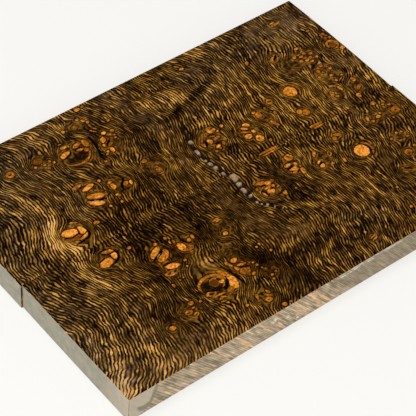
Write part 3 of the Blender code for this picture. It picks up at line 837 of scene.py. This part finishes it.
def oiled_lines(tree, block, haze, cloud):
    """Golden lines of changing width on dark ground, with a painted shadow along one side of each line,
    where they are gold, and each line's crest.
    """
    place, run, layer = grain_place(tree, block, 1.0)
    line = calc(tree, "FLOOR", place)
    crest = line_crest(tree, place)
    width = plus(tree, 0.76, line_noise(tree, run, line, layer, 0.5, 0.0), -1.9)
    width = plus(tree, width, grit(tree, block, 1.7, 2.0), 0.55)
    width = plus(tree, width, cloud, -0.22)
    inner, outer = calc(tree, "SUBTRACT", width, GOLD_EDGE), calc(tree, "ADD", width, GOLD_EDGE)
    gold = times(tree, step(tree, crest, inner, outer), plus(tree, 1.0, haze, -0.8, clamp=True))
    glow = plus(tree, 0.31, line_noise(tree, run, line, layer, 0.35, 40.0), 1.9)
    glow = plus(tree, glow, cloud, 0.45, clamp=True)
    ground = plus(tree, 0.34, line_noise(tree, run, line, layer, 0.6, 80.0), 1.2)
    gap = calc(tree, "MAXIMUM", step(tree, crest, 0.0, 0.5), times(tree, haze, 0.5))
    ground = times(tree, ground, gap)
    # Painted shadow: a narrow band along one side of each golden line darkens the ground, less where the
    # lines are hazy.
    beside = calc(tree, "FRACT", place)
    line_shadow = times(tree, step(tree, beside, 0.56, 0.68), step(tree, beside, 0.98, 0.82))
    line_shadow = times(tree, line_shadow, plus(tree, 1.0, haze, -1.0))
    ground = plus(tree, ground, grit(tree, block, 0.45, 3.0), 0.8)
    ground = plus(tree, ground, haze, 0.28)
    ground = plus(tree, ground, cloud, 0.26)
    ground = plus(tree, ground, line_shadow, -0.22, clamp=True)
    color = blend(tree, gold, ramp(tree, ground, GROUND_COLORS), ramp(tree, glow, GOLD_COLORS))
    return color, gold, crest


NEST_COLORS = [
    (0.0, (0.007, 0.0024, 0.0004)), (0.3, (0.032, 0.0130, 0.0018)), (0.65, (0.14, 0.058, 0.006)),
    (1.0, (0.46, 0.195, 0.022)),
]


def nest_wood(tree, block, eye, nest, cloud):
    """The dark wood that swirls round a group of eyes, brighter right beside an eye."""
    depth = times(tree, calc(tree, "ADD", eye, nest), 0.5)
    swirl = plus(tree, times(tree, depth, 8.0), grit(tree, block, 0.5, 3.0), 16.0)
    swirl = plus(tree, 0.30, calc(tree, "SINE", swirl), 0.17)
    swirl = plus(tree, swirl, step(tree, eye, -1.0, -0.4), 0.22)
    swirl = plus(tree, swirl, grit(tree, block, 0.9, 4.0), 1.5)
    swirl = plus(tree, swirl, cloud, 0.28, clamp=True)
    return ramp(tree, swirl, NEST_COLORS)


EYE_COLORS = [
    (0.0, (0.050, 0.017, 0.001)), (0.4, (0.155, 0.046, 0.003)), (0.7, (0.39, 0.125, 0.008)),
    (1.0, (0.66, 0.255, 0.043)),
]
EYE_BORDER = (0.20, 0.064, 0.005, 1.0)
EYE_CRACK = (0.10, 0.030, 0.002, 1.0)


def eye_wood(tree, block, eye, crest):
    """An eye's orange end grain, browner at its border, with fine cracks in all but the palest."""
    tint = kept(tree, "tint")
    flesh = plus(tree, tint, grit(tree, block, 1.5, 4.0), 1.6)
    flesh = ramp(tree, plus(tree, flesh, step(tree, crest, 0.3, 0.9), 0.14), EYE_COLORS)
    flesh = blend(tree, step(tree, eye, 0.22, 0.0), flesh, EYE_BORDER)
    swerve = grit(tree, block, 1.4, 2.0)
    bent = put(tree, "ShaderNodeVectorMath", {"operation": "ADD"})
    feed(tree, bent.inputs[0], block)
    feed(tree, bent.inputs[1], point(tree, swerve, swerve, 0.0))
    edges = {"feature": "DISTANCE_TO_EDGE"}
    cells = put(tree, "ShaderNodeTexVoronoi", edges, Vector=bent.outputs[0], Scale=0.62)
    border = plus(tree, cells.outputs["Distance"], grit(tree, block, 0.9, 1.0), -0.35)
    crack = times(tree, step(tree, border, 0.07, 0.0), step(tree, tint, 0.85, 0.65))
    return blend(tree, times(tree, crack, 0.5), flesh, EYE_CRACK)


BARK_COLORS = [
    (0.0, (0.060, 0.042, 0.027)), (0.45, (0.20, 0.135, 0.082)), (1.0, (0.46, 0.285, 0.165)),
]
RIM_DARK = (0.004, 0.0015, 0.0003, 1.0)
CHANNEL_DARK = (0.008, 0.006, 0.005, 1.0)
SHAKE_DARK = (0.002, 0.0014, 0.001, 1.0)


def oiled_figure():
    """The polished show face: dark oiled burl with golden lines and orange eyes."""
    material, tree, block = new_wood("oiled_burl_face")
    nest = kept(tree, "nest")
    haze = plus(tree, kept(tree, "haze"), grit(tree, block, 0.24, 2.0), 2.0)
    haze = calc(tree, "SUBTRACT", haze, 0.2, clamp=True)
    eye = plus(tree, calc(tree, "ADD", kept(tree, "eye"), 0.05), grit(tree, block, 1.2, 1.0), 0.5)
    eye = plus(tree, eye, grit(tree, block, 3.2, 1.0), 0.3)
    cloud = plus(tree, kept(tree, "tone"), grit(tree, block, 0.2, 3.0), 0.55)
    color, gold, crest = oiled_lines(tree, block, haze, cloud)
    calm = step(tree, plus(tree, nest, grit(tree, block, 0.35, 2.0), 2.6), -1.1, 0.9)
    color = blend(tree, times(tree, calm, 0.82), color, nest_wood(tree, block, eye, nest, cloud))
    # Painted sheen: the grey cast is partly ashy wood and partly a painted stand-in for sheen on the
    # oiled face, strongest toward the left end.
    ash_and_sheen = plus(tree, kept(tree, "ash_and_sheen"), haze, 0.05)
    ash_and_sheen = times(tree, ash_and_sheen, plus(tree, 1.0, gold, -0.7))
    cast = point(tree, plus(tree, 1.0, ash_and_sheen, -0.08), plus(tree, 1.0, ash_and_sheen, 0.22), plus(tree, 1.0, ash_and_sheen, 2.2))
    color = blend(tree, 1.0, color, cast, "MULTIPLY")
    color = blend(tree, step(tree, eye, -0.05, 0.1), color, eye_wood(tree, block, eye, crest))
    rim = times(tree, step(tree, eye, -0.5, -0.2), step(tree, eye, 0.0, -0.1))
    rim = times(tree, rim, plus(tree, 0.85, grit(tree, block, 0.7, 1.0), 1.8, clamp=True))
    color = blend(tree, rim, color, RIM_DARK)
    color = blend(tree, kept(tree, "bark"), color, CHANNEL_DARK)
    color = blend(tree, kept(tree, "shake"), color, SHAKE_DARK)
    crust = ramp(tree, plus(tree, 0.5, grit(tree, block, 1.6, 3.0), 1.6), BARK_COLORS)
    color = blend(tree, kept(tree, "lump"), color, crust)
    shader = finish_wood(tree, color, crest, 0.2, 0.00003)
    feed(tree, shader.inputs["Roughness"], plus(tree, 0.40, grit(tree, block, 0.8, 3.0), 0.2))
    shader.inputs["Specular IOR Level"].default_value = 0.012
    return material


SAWN_COLORS = [
    (0.0, (0.16, 0.115, 0.064)), (0.35, (0.33, 0.252, 0.158)), (0.7, (0.44, 0.335, 0.205)),
    (1.0, (0.76, 0.49, 0.26)),
]
SAPWOOD_COLORS = [
    (0.0, (0.215, 0.210, 0.160)), (0.5, (0.262, 0.242, 0.178)), (1.0, (0.31, 0.262, 0.185)),
]
KNOT_COLORS = [
    (0.0, (0.22, 0.13, 0.070)), (0.5, (0.56, 0.32, 0.15)), (1.0, (0.82, 0.50, 0.27)),
]
DULL_SAWN = (0.20, 0.162, 0.10, 1.0)
CORNER_SAPWOOD = (0.385, 0.325, 0.240, 1.0)
STAIN = (0.165, 0.155, 0.100, 1.0)
CHIP_AND_GLINT_WHITE = (0.66, 0.63, 0.56, 1.0)


def sawn_figure():
    """The sawn sides and back: dry grey-beige wood with the same lines, faint."""
    material, tree, block = new_wood("sawn_burl_sides")
    parts = put(tree, "ShaderNodeSeparateXYZ", Vector=block)
    right = step(tree, parts.outputs["X"], 64.0, 70.0)
    corner = step(tree, parts.outputs["Y"], 32.0, 45.0)
    place, run, layer = grain_place(tree, block, 0.25)
    place = times(tree, place, 1.25)
    line = calc(tree, "FLOOR", place)
    crest = line_crest(tree, place)
    level = plus(tree, 0.15, line_noise(tree, run, line, layer, 0.3, 0.0), 2.1)
    level = plus(tree, level, step(tree, crest, 0.15, 0.85), 0.36)
    level = plus(tree, level, grit(tree, block, 2.2, 3.0), 0.7)
    level = plus(tree, level, right, -0.12, clamp=True)
    color = ramp(tree, level, SAWN_COLORS)
    color = blend(tree, times(tree, right, 0.5), color, DULL_SAWN)
    sapwood = ramp(tree, plus(tree, 0.5, grit(tree, block, 0.5, 4.0), 2.6), SAPWOOD_COLORS)
    sapwood = blend(tree, corner, sapwood, CORNER_SAPWOOD)
    color = blend(tree, kept(tree, "plain"), color, sapwood)
    flesh = ramp(tree, plus(tree, 0.6, grit(tree, block, 1.4, 3.0), 2.0), KNOT_COLORS)
    knot = plus(tree, kept(tree, "knot"), grit(tree, block, 1.6, 2.0), 0.5)
    color = blend(tree, times(tree, step(tree, knot, -0.1, 0.15), 0.9), color, flesh)
    color = blend(tree, times(tree, kept(tree, "stain"), 0.9), color, STAIN)
    # Painted highlight: the white along the top of the long side is partly chipped wood and partly a
    # painted glint where the edge catches the light.
    chips_and_glints = times(tree, kept(tree, "chip_and_glint"), step(tree, grit(tree, block, 1.3, 2.0), -0.16, 0.08))
    color = blend(tree, chips_and_glints, color, CHIP_AND_GLINT_WHITE)
    mottle = plus(tree, 1.0, grit(tree, block, 0.6, 4.0), 0.35)
    color = blend(tree, 1.0, color, point(tree, mottle, mottle, mottle), "MULTIPLY")
    shader = finish_wood(tree, color, level, 0.3, 0.00004)
    shader.inputs["Roughness"].default_value = 0.7
    return material


RIGHT_END_DEPTH = 0.4 * MM
FACE_SLACK = 0.6 * EDGE_BREAK


def dress_scale(slab, face, sides):
    """Oil the show face, and the seam face that it runs over, and leave the outer faces as sawn."""
    slab.data.materials.append(face)
    slab.data.materials.append(sides)
    middles = np.empty(3 * len(slab.data.polygons))
    slab.data.polygons.foreach_get("center", middles)
    x, y, z = middles.reshape(-1, 3).T
    corners = np.array(slab.bound_box)
    left_end = x < corners[:, 0].min() + FACE_SLACK
    right_end = (x > corners[:, 0].max() - RIGHT_END_DEPTH - FACE_SLACK) & (z < TOP_Z - FACE_SLACK)
    outer_side = np.abs(y) > abs(OUTER_Y) - FACE_SLACK
    back = z < FACE_SLACK
    sawn_face = left_end | right_end | outer_side | back
    slab.data.polygons.foreach_set("material_index", sawn_face.astype(np.int32))
    slab.data.shade_smooth()
    slab.data.set_sharp_from_angle(angle=math.radians(35))
    slab.data.update()


NEAR_FIGURE = (NEAR_GRAIN, NEAR_FINE, NEAR_EYES, NEAR_RIMS, NEAR_SHAKES, NEAR_BARK, NEAR_LUMPS,
               NEAR_SWEEPS, NEAR_ASH_AND_SHEEN, NEAR_NESTS, NEAR_HAZE)
near_low, near_high = (list(corner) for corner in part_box("near_scale"))
near_low[0] += LEFT_BOW
near_high[1] = -SEAM_CLEARANCE
near_scale = carve_scale("near_scale_burl", "near_scale", near_low, near_high, (LEFT_BOW, 0.0),
                         NEAR_FIGURE, side=-1, seed=11)
oiled = oiled_figure()
sawn = sawn_figure()
dress_scale(near_scale, oiled, sawn)

# The far scale is the other half of the same block, opened like a book, so its figure mirrors the
# near one's across the seam, a saw's width deeper in the wood.  It lies half a millimetre to the
# left, and its right end bellies out.
RIGHT_BOW = 0.35 * MM
FAR_GRAIN = [
    (5, 56, 50), (12, 54, 50), (17, 65, 75), (15, 73, 110), (22, 64, 90), (2, 48, 90), (30, 86, 110),
    (48, 50, 65), (46, 62, 100), (60, 50, 90), (63, 63, 60), (64, 50, 90), (73, 66, 55), (84, 62.5, 57),
    (90, 72, 80), (75, 84, 95), (92, 83, 105), (77, 50, 50), (97.3, 68, 90), (95, 78, 90),
    (106, 52, 95), (124, 50, 67), (5, 79, 130), (2, 87, 147), (8, 85, 135), (14, 87, 120), (8, 73, 115),
    (22, 88, 112), (60, 80, 92), (45, 88, 90), (112, 78, 80), (120, 86, 90), (124, 60, 75),
    (110, 68, 85), (29, 88, 138), (35, 88, 123), (50, 86, 122), (47, 81, 115), (23, 81, 65),
    (30, 79, 79), (35, 80, 52), (20, 74, 122), (23, 73, 119), (29, 68, 105), (32, 68, 118),
    (35, 68, 127), (38, 67, 114), (48, 67, 60), (50, 70, 58), (20, 58, 53), (24, 58, 56), (26, 51, 111),
    (29, 52, 123), (47, 58, 75), (56, 77, 114), (83, 88, 141), (87, 88, 147), (95, 88, 114),
    (90, 86, 113), (110, 86, 102), (107, 80, 52), (119, 80, 106), (107, 70, 36), (110, 71, 40),
    (104, 65, 140), (107, 65, 133), (97, 71, 111), (101, 71, 104), (77, 71, 92), (92, 58, 112),
    (86, 55, 95), (95, 55, 95), (101, 55, 100), (104, 55, 97), (89, 52, 113), (104, 51, 100),
    (110, 50, 110), (89, 47, 88), (113, 59, 88), (67, 47, 95), (118, 56, 40), (2, 56, 70), (53, 46, 80),
    (35, 48, 80),
]
FAR_FINE = [
    (0.35, 10.0, [(58, 62), (58, 50)]), (0.12, 8.0, [(66, 58), (76, 58)]),
    (-0.2, 9.0, [(94, 58), (98, 50)]), (-0.15, 8.0, [(121, 60), (124, 58)]),
    (-0.15, 9.0, [(8, 58), (13, 68), (13, 78)]), (-0.15, 8.0, [(40, 50), (42, 49)]),
    (0.13, 8.0, [(49, 69), (56, 77)]), (0.12, 8.0, [(66, 78), (76, 86)]),
    (-0.14, 9.0, [(103, 77), (114, 77)]),
]
FAR_EYES = [
    (20.1, 52.6, 4.7, 2.6, -15, 0.9), (23.2, 51.6, 2.0, 3.4, 8, 0.72), (19.1, 50.7, 2.6, 1.3, -25, 0.4),
    (21.3, 50.1, 3.2, 1.6, 0, 0.3), (22.7, 49.5, 3.4, 1.3, 15, 0.7), (28.0, 51.6, 1.8, 1.1, -10),
    (19.5, 79.0, 2.4, 2.1, 0, 0.5), (28.3, 78.8, 2.4, 2.0, 0, 0.2), (26.5, 77.3, 0.9, 0.8, 0),
    (29.0, 76.6, 0.8, 0.8, 0), (29.3, 75.0, 1.0, 0.8, 0), (31.7, 76.0, 0.8, 0.8, 0),
    (30.9, 77.1, 0.8, 0.8, 0), (31.2, 65.0, 3.1, 1.1, 10), (33.5, 63.1, 4.0, 1.5, 12, 0.76),
    (33.4, 59.4, 5.0, 2.0, -22, 0.68), (30.8, 58.6, 1.2, 0.8, -20), (32.3, 57.2, 4.4, 1.8, -30, 0.7),
    (37.4, 63.4, 0.9, 0.9, 0, 0.7), (39.3, 59.6, 1.3, 2.2, 0, 0.7), (39.3, 61.3, 1.2, 1.0, 0),
    (42.7, 58.6, 1.8, 1.2, 30, 0.45), (44.1, 58.1, 0.8, 1.8, -20, 0.7), (38.3, 56.6, 1.2, 0.8, 0),
    (38.7, 55.9, 0.9, 0.6, 0), (37.9, 53.8, 0.9, 0.9, 0), (34.5, 54.3, 0.9, 0.8, 0),
    (35.7, 76.4, 3.4, 2.0, 12, 0.65), (40.3, 77.8, 2.8, 1.4, 20, 0.5), (42.7, 77.1, 1.5, 3.1, 0, 0.55),
    (40.2, 75.9, 2.4, 0.9, -5, 0.5), (41.5, 74.8, 1.0, 1.3, 20, 0.35), (37.0, 79.1, 1.9, 1.1, 0),
    (36.7, 80.6, 1.0, 0.6, 0), (43.3, 68.3, 0.9, 0.9, 0), (49.1, 77.4, 1.5, 1.1, 0, 0.8),
    (51.6, 76.8, 1.2, 1.0, 0), (47.4, 75.3, 1.4, 2.2, -25, 0.6), (48.3, 72.9, 1.8, 0.8, 25, 0.45),
    (46.4, 73.3, 0.9, 1.3, 0, 0.5), (51.2, 75.2, 0.8, 0.8, 0), (50.8, 74.2, 0.7, 0.6, 0),
    (47.4, 70.8, 1.2, 1.8, -15, 0.85), (46.0, 71.0, 0.8, 0.9, 0), (45.2, 70.1, 0.7, 0.7, 0),
    (40.3, 84.1, 1.0, 1.0, 0), (43.8, 83.6, 1.8, 1.5, 0, 0.15), (46.2, 85.9, 1.1, 0.9, 0),
    (48.0, 83.3, 0.9, 0.9, 0), (47.3, 84.5, 1.6, 0.6, -50), (48.5, 89.0, 2.0, 1.2, 0),
    (50.4, 89.2, 0.9, 0.8, 0), (53.2, 80.6, 0.9, 0.8, 0), (51.6, 62.3, 1.7, 1.3, 0, 0.3),
    (53.0, 57.3, 1.8, 1.6, 0, 0.35), (73.5, 62.0, 2.6, 0.8, 0, 0.4), (73.1, 61.0, 1.0, 1.9, 12, 0.72),
    (74.3, 60.7, 1.4, 1.4, 0, 0.55), (75.1, 59.8, 0.9, 0.7, 0, 0.6), (70.9, 57.8, 1.4, 1.9, 10, 0.68),
    (68.8, 57.3, 0.7, 1.6, -25, 0.6), (71.7, 55.0, 1.9, 1.0, 20, 0.8), (73.6, 55.2, 0.8, 1.6, -20, 0.5),
    (74.0, 57.9, 0.9, 0.9, 0), (71.7, 54.1, 0.7, 0.8, 0), (72.7, 59.0, 1.5, 0.5, -30, 0.5),
    (70.1, 53.7, 0.8, 0.6, 0), (77.3, 60.7, 1.2, 1.0, 0), (83.0, 57.0, 2.3, 1.2, -40, 0.7),
    (81.6, 56.2, 2.4, 0.9, -40, 0.72), (80.9, 55.0, 2.2, 0.8, -30, 0.7),
    (80.8, 53.1, 2.2, 1.7, 0, 0.64), (83.2, 53.9, 1.0, 1.4, 0, 0.65), (82.9, 50.8, 2.3, 2.5, 0, 0.6),
    (84.9, 48.6, 1.0, 0.9, 0), (88.4, 58.0, 1.7, 2.4, -15, 0.45), (87.7, 59.5, 1.1, 0.9, 0),
    (90.1, 53.0, 1.0, 3.4, 15), (92.8, 56.1, 0.9, 1.4, 0), (94.3, 60.5, 2.0, 1.9, 0),
    (91.5, 59.1, 0.8, 0.8, 0), (82.4, 85.3, 1.4, 0.9, 0), (102.0, 60.2, 4.3, 4.1, 0, 0.72),
    (98.6, 52.4, 1.5, 1.8, -20, 0.66), (100.0, 51.1, 2.0, 2.4, -20, 0.62), (106.5, 73.3, 2.2, 1.6, 35),
    (107.6, 74.4, 0.9, 0.6, 30), (99.2, 76.4, 0.9, 1.6, -25), (114.8, 72.8, 1.6, 0.9, 0),
    (124.6, 68.2, 2.0, 1.8, 0, 0.1), (126.0, 71.1, 1.0, 0.9, 0), (126.2, 65.6, 1.6, 1.2, 0),
    (115.8, 63.3, 1.2, 1.0, 0), (113.7, 61.9, 1.2, 1.1, 0), (114.7, 60.8, 0.9, 0.8, 0),
    (117.5, 61.0, 1.0, 0.9, 0), (112.5, 59.8, 0.9, 0.8, 0), (115.8, 58.5, 1.1, 1.0, 0),
    (115.6, 56.1, 1.0, 0.9, 0), (118.3, 57.0, 0.8, 0.8, 0), (114.2, 53.1, 1.0, 2.2, 10),
    (110.9, 52.6, 1.2, 2.4, -25), (111.6, 51.0, 1.3, 0.9, 0), (119.8, 53.6, 1.3, 1.6, 0),
    (119.0, 50.3, 2.2, 1.0, 30), (116.7, 47.8, 1.5, 1.8, 0), (122.5, 76.8, 1.2, 0.9, 0),
    (125.3, 73.3, 1.1, 0.9, 0), (112.0, 70.2, 1.4, 1.0, 30), (113.8, 69.4, 1.3, 0.9, 0),
    (115.4, 70.0, 1.2, 0.9, -30), (117.0, 69.0, 1.2, 0.9, 0), (112.6, 68.0, 1.2, 1.0, 0),
    (114.2, 67.3, 1.3, 0.9, 0), (115.8, 67.7, 1.2, 0.9, 20), (117.6, 67.0, 1.1, 0.9, 0),
    (115.2, 66.3, 1.2, 0.8, 0), (116.6, 84.6, 4.2, 0.8, 5), (116.0, 85.5, 2.0, 0.6, 0),
]
FAR_RIMS = [
    (0.7, [(122.9, 67.6), (123.2, 69.4), (124.7, 70.1), (126.1, 69.3), (126.3, 67.6), (125.4, 66.5),
         (123.8, 66.5)]),
    (0.55, [(33.9, 74.2), (34.1, 72.8), (35.5, 71.9), (37.5, 71.3), (39.5, 71.6), (41.2, 72.6),
         (42.1, 74.0), (42.1, 75.2), (41.0, 75.9)]), (0.5, [(21.9, 55.4), (23.0, 55.2), (23.8, 54.4)]),
    (0.8, [(78.6, 45.8), (81.0, 45.9), (85.3, 45.6)]), (0.8, [(96.8, 45.9), (101.2, 45.7)]),
    (0.35, [(100.2, 63.9), (102.6, 63.2), (104.3, 61.4), (104.6, 59.4), (103.4, 57.6)]),
    (0.35, [(71.0, 61.5), (69.6, 59.6), (68.0, 57.6)]),
    (0.35, [(34.4, 61.3), (36.6, 59.9), (36.2, 57.6)]), (0.4, [(46.4, 80.6), (48.0, 78.6)]),
    (0.35, [(47.4, 81.0), (49.0, 79.4)]),
]
FAR_SHAKES = [
    (0.7, [(19.3, 48.2), (21.5, 48.5), (23.4, 48.7), (24.4, 49.7), (24.7, 51.2), (24.3, 52.5)]),
    (0.5, [(17.8, 51.7), (19.2, 51.3), (20.1, 50.9), (21.5, 51.4)]),
    (0.4, [(22.6, 53.2), (22.5, 52.1), (22.1, 51.0), (22.4, 50.4)]),
    (0.3, [(21.2, 49.8), (22.8, 50.2), (24.2, 50.6)]),
    (1.0, [(31.0, 59.3), (32.5, 58.4), (33.9, 57.7), (35.1, 57.4)]),
    (0.45, [(31.2, 64.1), (33.5, 64.3)]),
    (0.65, [(41.2, 63.9), (42.5, 62.5), (43.3, 60.9), (42.8, 59.8), (41.5, 58.9), (41.1, 57.9),
         (41.1, 56.5)]), (0.55, [(34.7, 75.3), (36.0, 75.7), (37.2, 76.1), (37.7, 76.9)]),
    (0.5, [(39.0, 76.4), (40.2, 76.8), (41.2, 76.4), (42.7, 75.6)]),
    (0.75, [(44.8, 78.6), (44.9, 76.4), (44.7, 74.6), (44.0, 72.4), (43.5, 70.2), (43.4, 68.6)]),
    (0.55, [(47.0, 72.9), (48.0, 73.7), (49.1, 74.4)]), (0.5, [(82.4, 51.1), (83.1, 51.0)]),
    (0.45, [(19.0, 78.9), (20.0, 79.2)]), (0.6, [(70.0, 58.9), (69.5, 57.5), (68.9, 56.4)]),
    (0.5, [(72.2, 59.8), (73.0, 59.4), (74.2, 59.2)]), (0.4, [(74.6, 60.2), (75.2, 60.3)]),
    (0.3, [(71.3, 56.3), (72.8, 56.3)]),
    (0.45, [(102.0, 62.8), (103.4, 61.9), (104.2, 60.5), (103.8, 59.1), (102.9, 57.9)]),
    (0.65, [(106.4, 72.7), (107.4, 73.6), (108.2, 74.2)]),
    (0.35, [(80.6, 56.0), (81.6, 55.3), (82.2, 54.8)]), (0.35, [(82.2, 57.0), (83.0, 56.0)]),
    (0.6, [(93.9, 60.6), (94.8, 60.4)]), (0.4, [(68.2, 62.2), (68.7, 65.5), (69.4, 68.8)]),
]
FAR_BARK = [
    (66.9, 44.0, 1.8), (66.1, 48.7, 1.7), (65.9, 51.7, 1.8), (65.6, 55.0, 1.4), (65.5, 57.8, 1.3),
    (65.7, 59.8, 1.0), (66.6, 62.2, 1.0), (67.4, 65.2, 0.6), (68.0, 68.0, 0.4),
]
FAR_LUMPS = [
    (66.3, 46.2, 1.2, 1.4, 0), (66.0, 49.2, 1.5, 1.5, 0), (65.7, 51.1, 1.5, 1.6, 0),
    (65.5, 52.8, 1.0, 0.9, 0), (65.6, 56.6, 1.0, 2.4, 0), (66.5, 60.7, 0.8, 1.8, -15),
    (32.8, 58.3, 0.4, 1.5, 123),
]
FAR_SWEEPS = [
    (1.25, 3.8, [(18, 58), (15.5, 55), (15, 51), (18, 47)]),
    (0.55, 2.6, [(14, 75), (17.5, 68), (20, 61), (17.5, 58)]), (0.35, 6.0, [(9, 55), (12, 50)]),
    (0.75, 4.0, [(21, 48), (25, 46)]), (0.35, 2.6, [(11, 68), (13.5, 63), (13.3, 60.5)]),
    (0.3, 2.6, [(24, 67), (26.5, 58), (30, 52)]), (0.45, 5.0, [(1, 52), (4, 46)]),
    (0.35, 3.0, [(53, 59), (53, 56)]), (0.25, 3.0, [(63, 69.5), (60, 63), (58, 57), (60, 52)]),
    (0.75, 4.8, [(66, 79), (74, 77.5)]), (0.3, 2.6, [(75, 64.5), (80, 66), (87, 68)]),
    (-0.15, 3.6, [(92, 69), (94, 66)]), (0.35, 9.0, [(108, 62), (107, 48)]),
    (0.3, 6.0, [(94, 57), (93, 47)]), (0.1, 22.0, [(104, 58), (104, 46)]),
    (-0.55, 3.2, [(112, 49), (114, 46)]), (-0.25, 3.0, [(102, 49), (103, 45)]),
    (0.4, 4.0, [(125.5, 52), (125.5, 47)]), (0.45, 4.0, [(46.5, 64), (47, 61)]),
    (0.3, 2.4, [(43, 79.5), (44, 75)]), (0.5, 7.0, [(31.5, 88), (38, 86)]),
    (0.3, 5.0, [(56, 82), (62, 88)]), (0.2, 4.0, [(72, 63), (74, 60)]),
    (-0.12, 3.0, [(72, 89), (74, 87)]), (0.15, 3.0, [(64, 88.5), (69, 88)]),
    (0.35, 3.6, [(86, 89), (99, 88)]), (0.35, 8.0, [(78, 73), (92, 73)]),
    (0.35, 5.0, [(110, 78), (122, 79)]), (0.2, 6.0, [(108, 86), (122, 82)]),
    (0.2, 4.0, [(30, 74), (38, 72)]), (0.2, 4.0, [(120, 62), (124, 60)]),
    (0.2, 4.0, [(64, 53), (67, 49)]), (0.25, 4.0, [(47, 69), (52, 68)]),
    (-0.95, 2.0, [(84, 77), (80, 74.6), (72, 72.6), (66, 71.2)]),
    (-0.45, 4.5, [(57, 75), (58, 69), (56, 64)]), (-0.5, 5.0, [(48, 58), (50, 54)]),
    (-0.35, 6.0, [(30, 49), (38, 47.5), (42, 51)]), (0.1, 3.0, [(46, 48), (51, 48)]),
    (0.2, 4.0, [(82, 62), (83, 66)]), (-0.45, 3.0, [(74, 54), (74, 50)]),
    (-0.3, 2.2, [(8.5, 51), (8.5, 46)]), (-0.25, 3.0, [(5, 58), (7, 54)]),
    (-0.2, 4.0, [(106, 64), (108, 60)]), (-0.2, 2.4, [(69, 64.5), (68, 63)]),
    (0.3, 2.6, [(66.5, 70), (69, 68)]), (-0.3, 3.0, [(26.5, 73.5), (29, 72)]),
    (0.25, 2.6, [(21, 74), (23.5, 72)]), (-0.25, 3.0, [(57, 49), (58, 47)]),
    (-0.25, 3.0, [(42, 54), (43, 52)]), (-0.25, 3.0, [(31, 55), (33.5, 52.5)]),
    (0.2, 3.0, [(71, 49), (74, 47)]), (0.25, 4.0, [(126, 80), (126, 76)]),
    (-1.1, 3.4, [(35.6, 73.3), (38, 73.7), (40.4, 73.9)]), (-0.3, 3.0, [(51, 74), (54, 72)]),
    (0.25, 3.0, [(110, 74), (114, 72)]), (-0.3, 4.0, [(26, 78), (32, 77)]),
    (-0.45, 3.0, [(41, 83.5), (50, 80)]),
]
# Grey stretches on the far scale, partly ashy wood and partly a painted sheen, strongest toward the left
# end.
FAR_ASH_AND_SHEEN = [
    (0.85, 14.0, [(3, 52), (12, 66), (18, 80)]), (0.45, 9.0, [(27, 60), (30, 70)]),
    (0.5, 12.0, [(24, 86), (40, 88), (60, 88)]), (0.35, 9.0, [(62, 74), (76, 71)]),
    (0.65, 15.0, [(84, 80), (98, 84), (118, 84)]), (0.3, 12.0, [(118, 66), (119, 54)]),
    (-0.3, 8.0, [(34, 52), (44, 56)]), (-0.25, 6.0, [(44, 76), (48, 74)]),
]
FAR_NESTS = [
    (21.6, 51.5, 9.0, 7.5, 0), (32.8, 60.6, 7.0, 13.0, 0), (41.2, 59.6, 6.5, 8.5, 0),
    (38.6, 75.2, 12.0, 9.5, 0), (48.4, 73.8, 6.5, 9.0, -15), (28.8, 77.6, 7.0, 5.5, 0),
    (19.5, 79.0, 4.2, 3.6, 0), (44.5, 84.3, 7.5, 4.5, 0), (53.0, 58.8, 5.5, 9.0, 0),
    (71.8, 57.6, 7.5, 10.5, -15), (82.0, 54.0, 6.5, 9.5, 0), (88.8, 56.5, 5.0, 9.0, 15),
    (94.3, 60.5, 3.6, 3.4, 0), (102.1, 60.3, 6.6, 6.4, 0), (99.6, 51.6, 5.0, 4.0, -30),
    (112.4, 52.2, 6.5, 5.0, 0), (119.4, 51.6, 4.5, 6.5, 0), (115.0, 68.8, 8.5, 6.5, 0),
    (124.6, 68.5, 6.8, 7.6, 0), (107.0, 73.5, 4.6, 4.0, 35), (115.2, 59.8, 8.5, 8.0, 0),
    (116.4, 85.0, 6.5, 3.4, 0), (109.0, 68.5, 6.0, 7.0, 0), (43.5, 68.5, 3.0, 3.0, 0),
]
FAR_HAZE = [
    (0.7, 7.0, [(59, 88), (60, 80), (62, 74)]), (0.7, 6.0, [(108, 88), (122, 84)]),
    (0.6, 4.5, [(119, 62), (126, 58)]), (0.7, 5.0, [(104, 74), (108, 67), (104, 70)]),
    (0.6, 5.0, [(62, 72), (62, 62), (60, 54)]), (0.5, 4.0, [(27, 54), (27, 64)]),
    (0.5, 4.0, [(36, 68), (44, 66)]), (0.5, 4.0, [(50, 66), (52, 72)]),
    (0.5, 5.0, [(84, 82), (92, 80)]), (0.5, 4.0, [(20, 76), (26, 72)]),
    (0.4, 5.0, [(96, 88), (96, 82)]), (0.5, 3.0, [(7, 62), (12, 61)]),
    (0.7, 7.0, [(106, 82), (118, 79)]), (0.5, 6.0, [(120, 89), (126, 84), (126, 76)]),
    (0.4, 4.0, [(20, 82), (28, 83)]), (0.45, 4.0, [(80, 84), (85, 82)]),
    (0.8, 4.5, [(111, 49), (113, 46)]), (0.45, 3.5, [(31, 54), (34, 52)]),
    (0.5, 3.5, [(51, 69), (53, 67)]), (0.5, 3.5, [(96, 59), (98, 57)]),
    (0.35, 4.0, [(122, 66), (124, 56)]),
]
FAR_FIGURE = (FAR_GRAIN, FAR_FINE, FAR_EYES, FAR_RIMS, FAR_SHAKES, FAR_BARK, FAR_LUMPS, FAR_SWEEPS,
              FAR_ASH_AND_SHEEN, FAR_NESTS, FAR_HAZE)
far_low, far_high = (list(corner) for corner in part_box("far_scale"))
far_high[0] -= RIGHT_BOW
far_low[1] = SEAM_CLEARANCE
far_scale = carve_scale("far_scale_burl", "far_scale", far_low, far_high, (0.0, RIGHT_BOW),
                        FAR_FIGURE, side=1, seed=12)
dress_scale(far_scale, oiled, sawn)
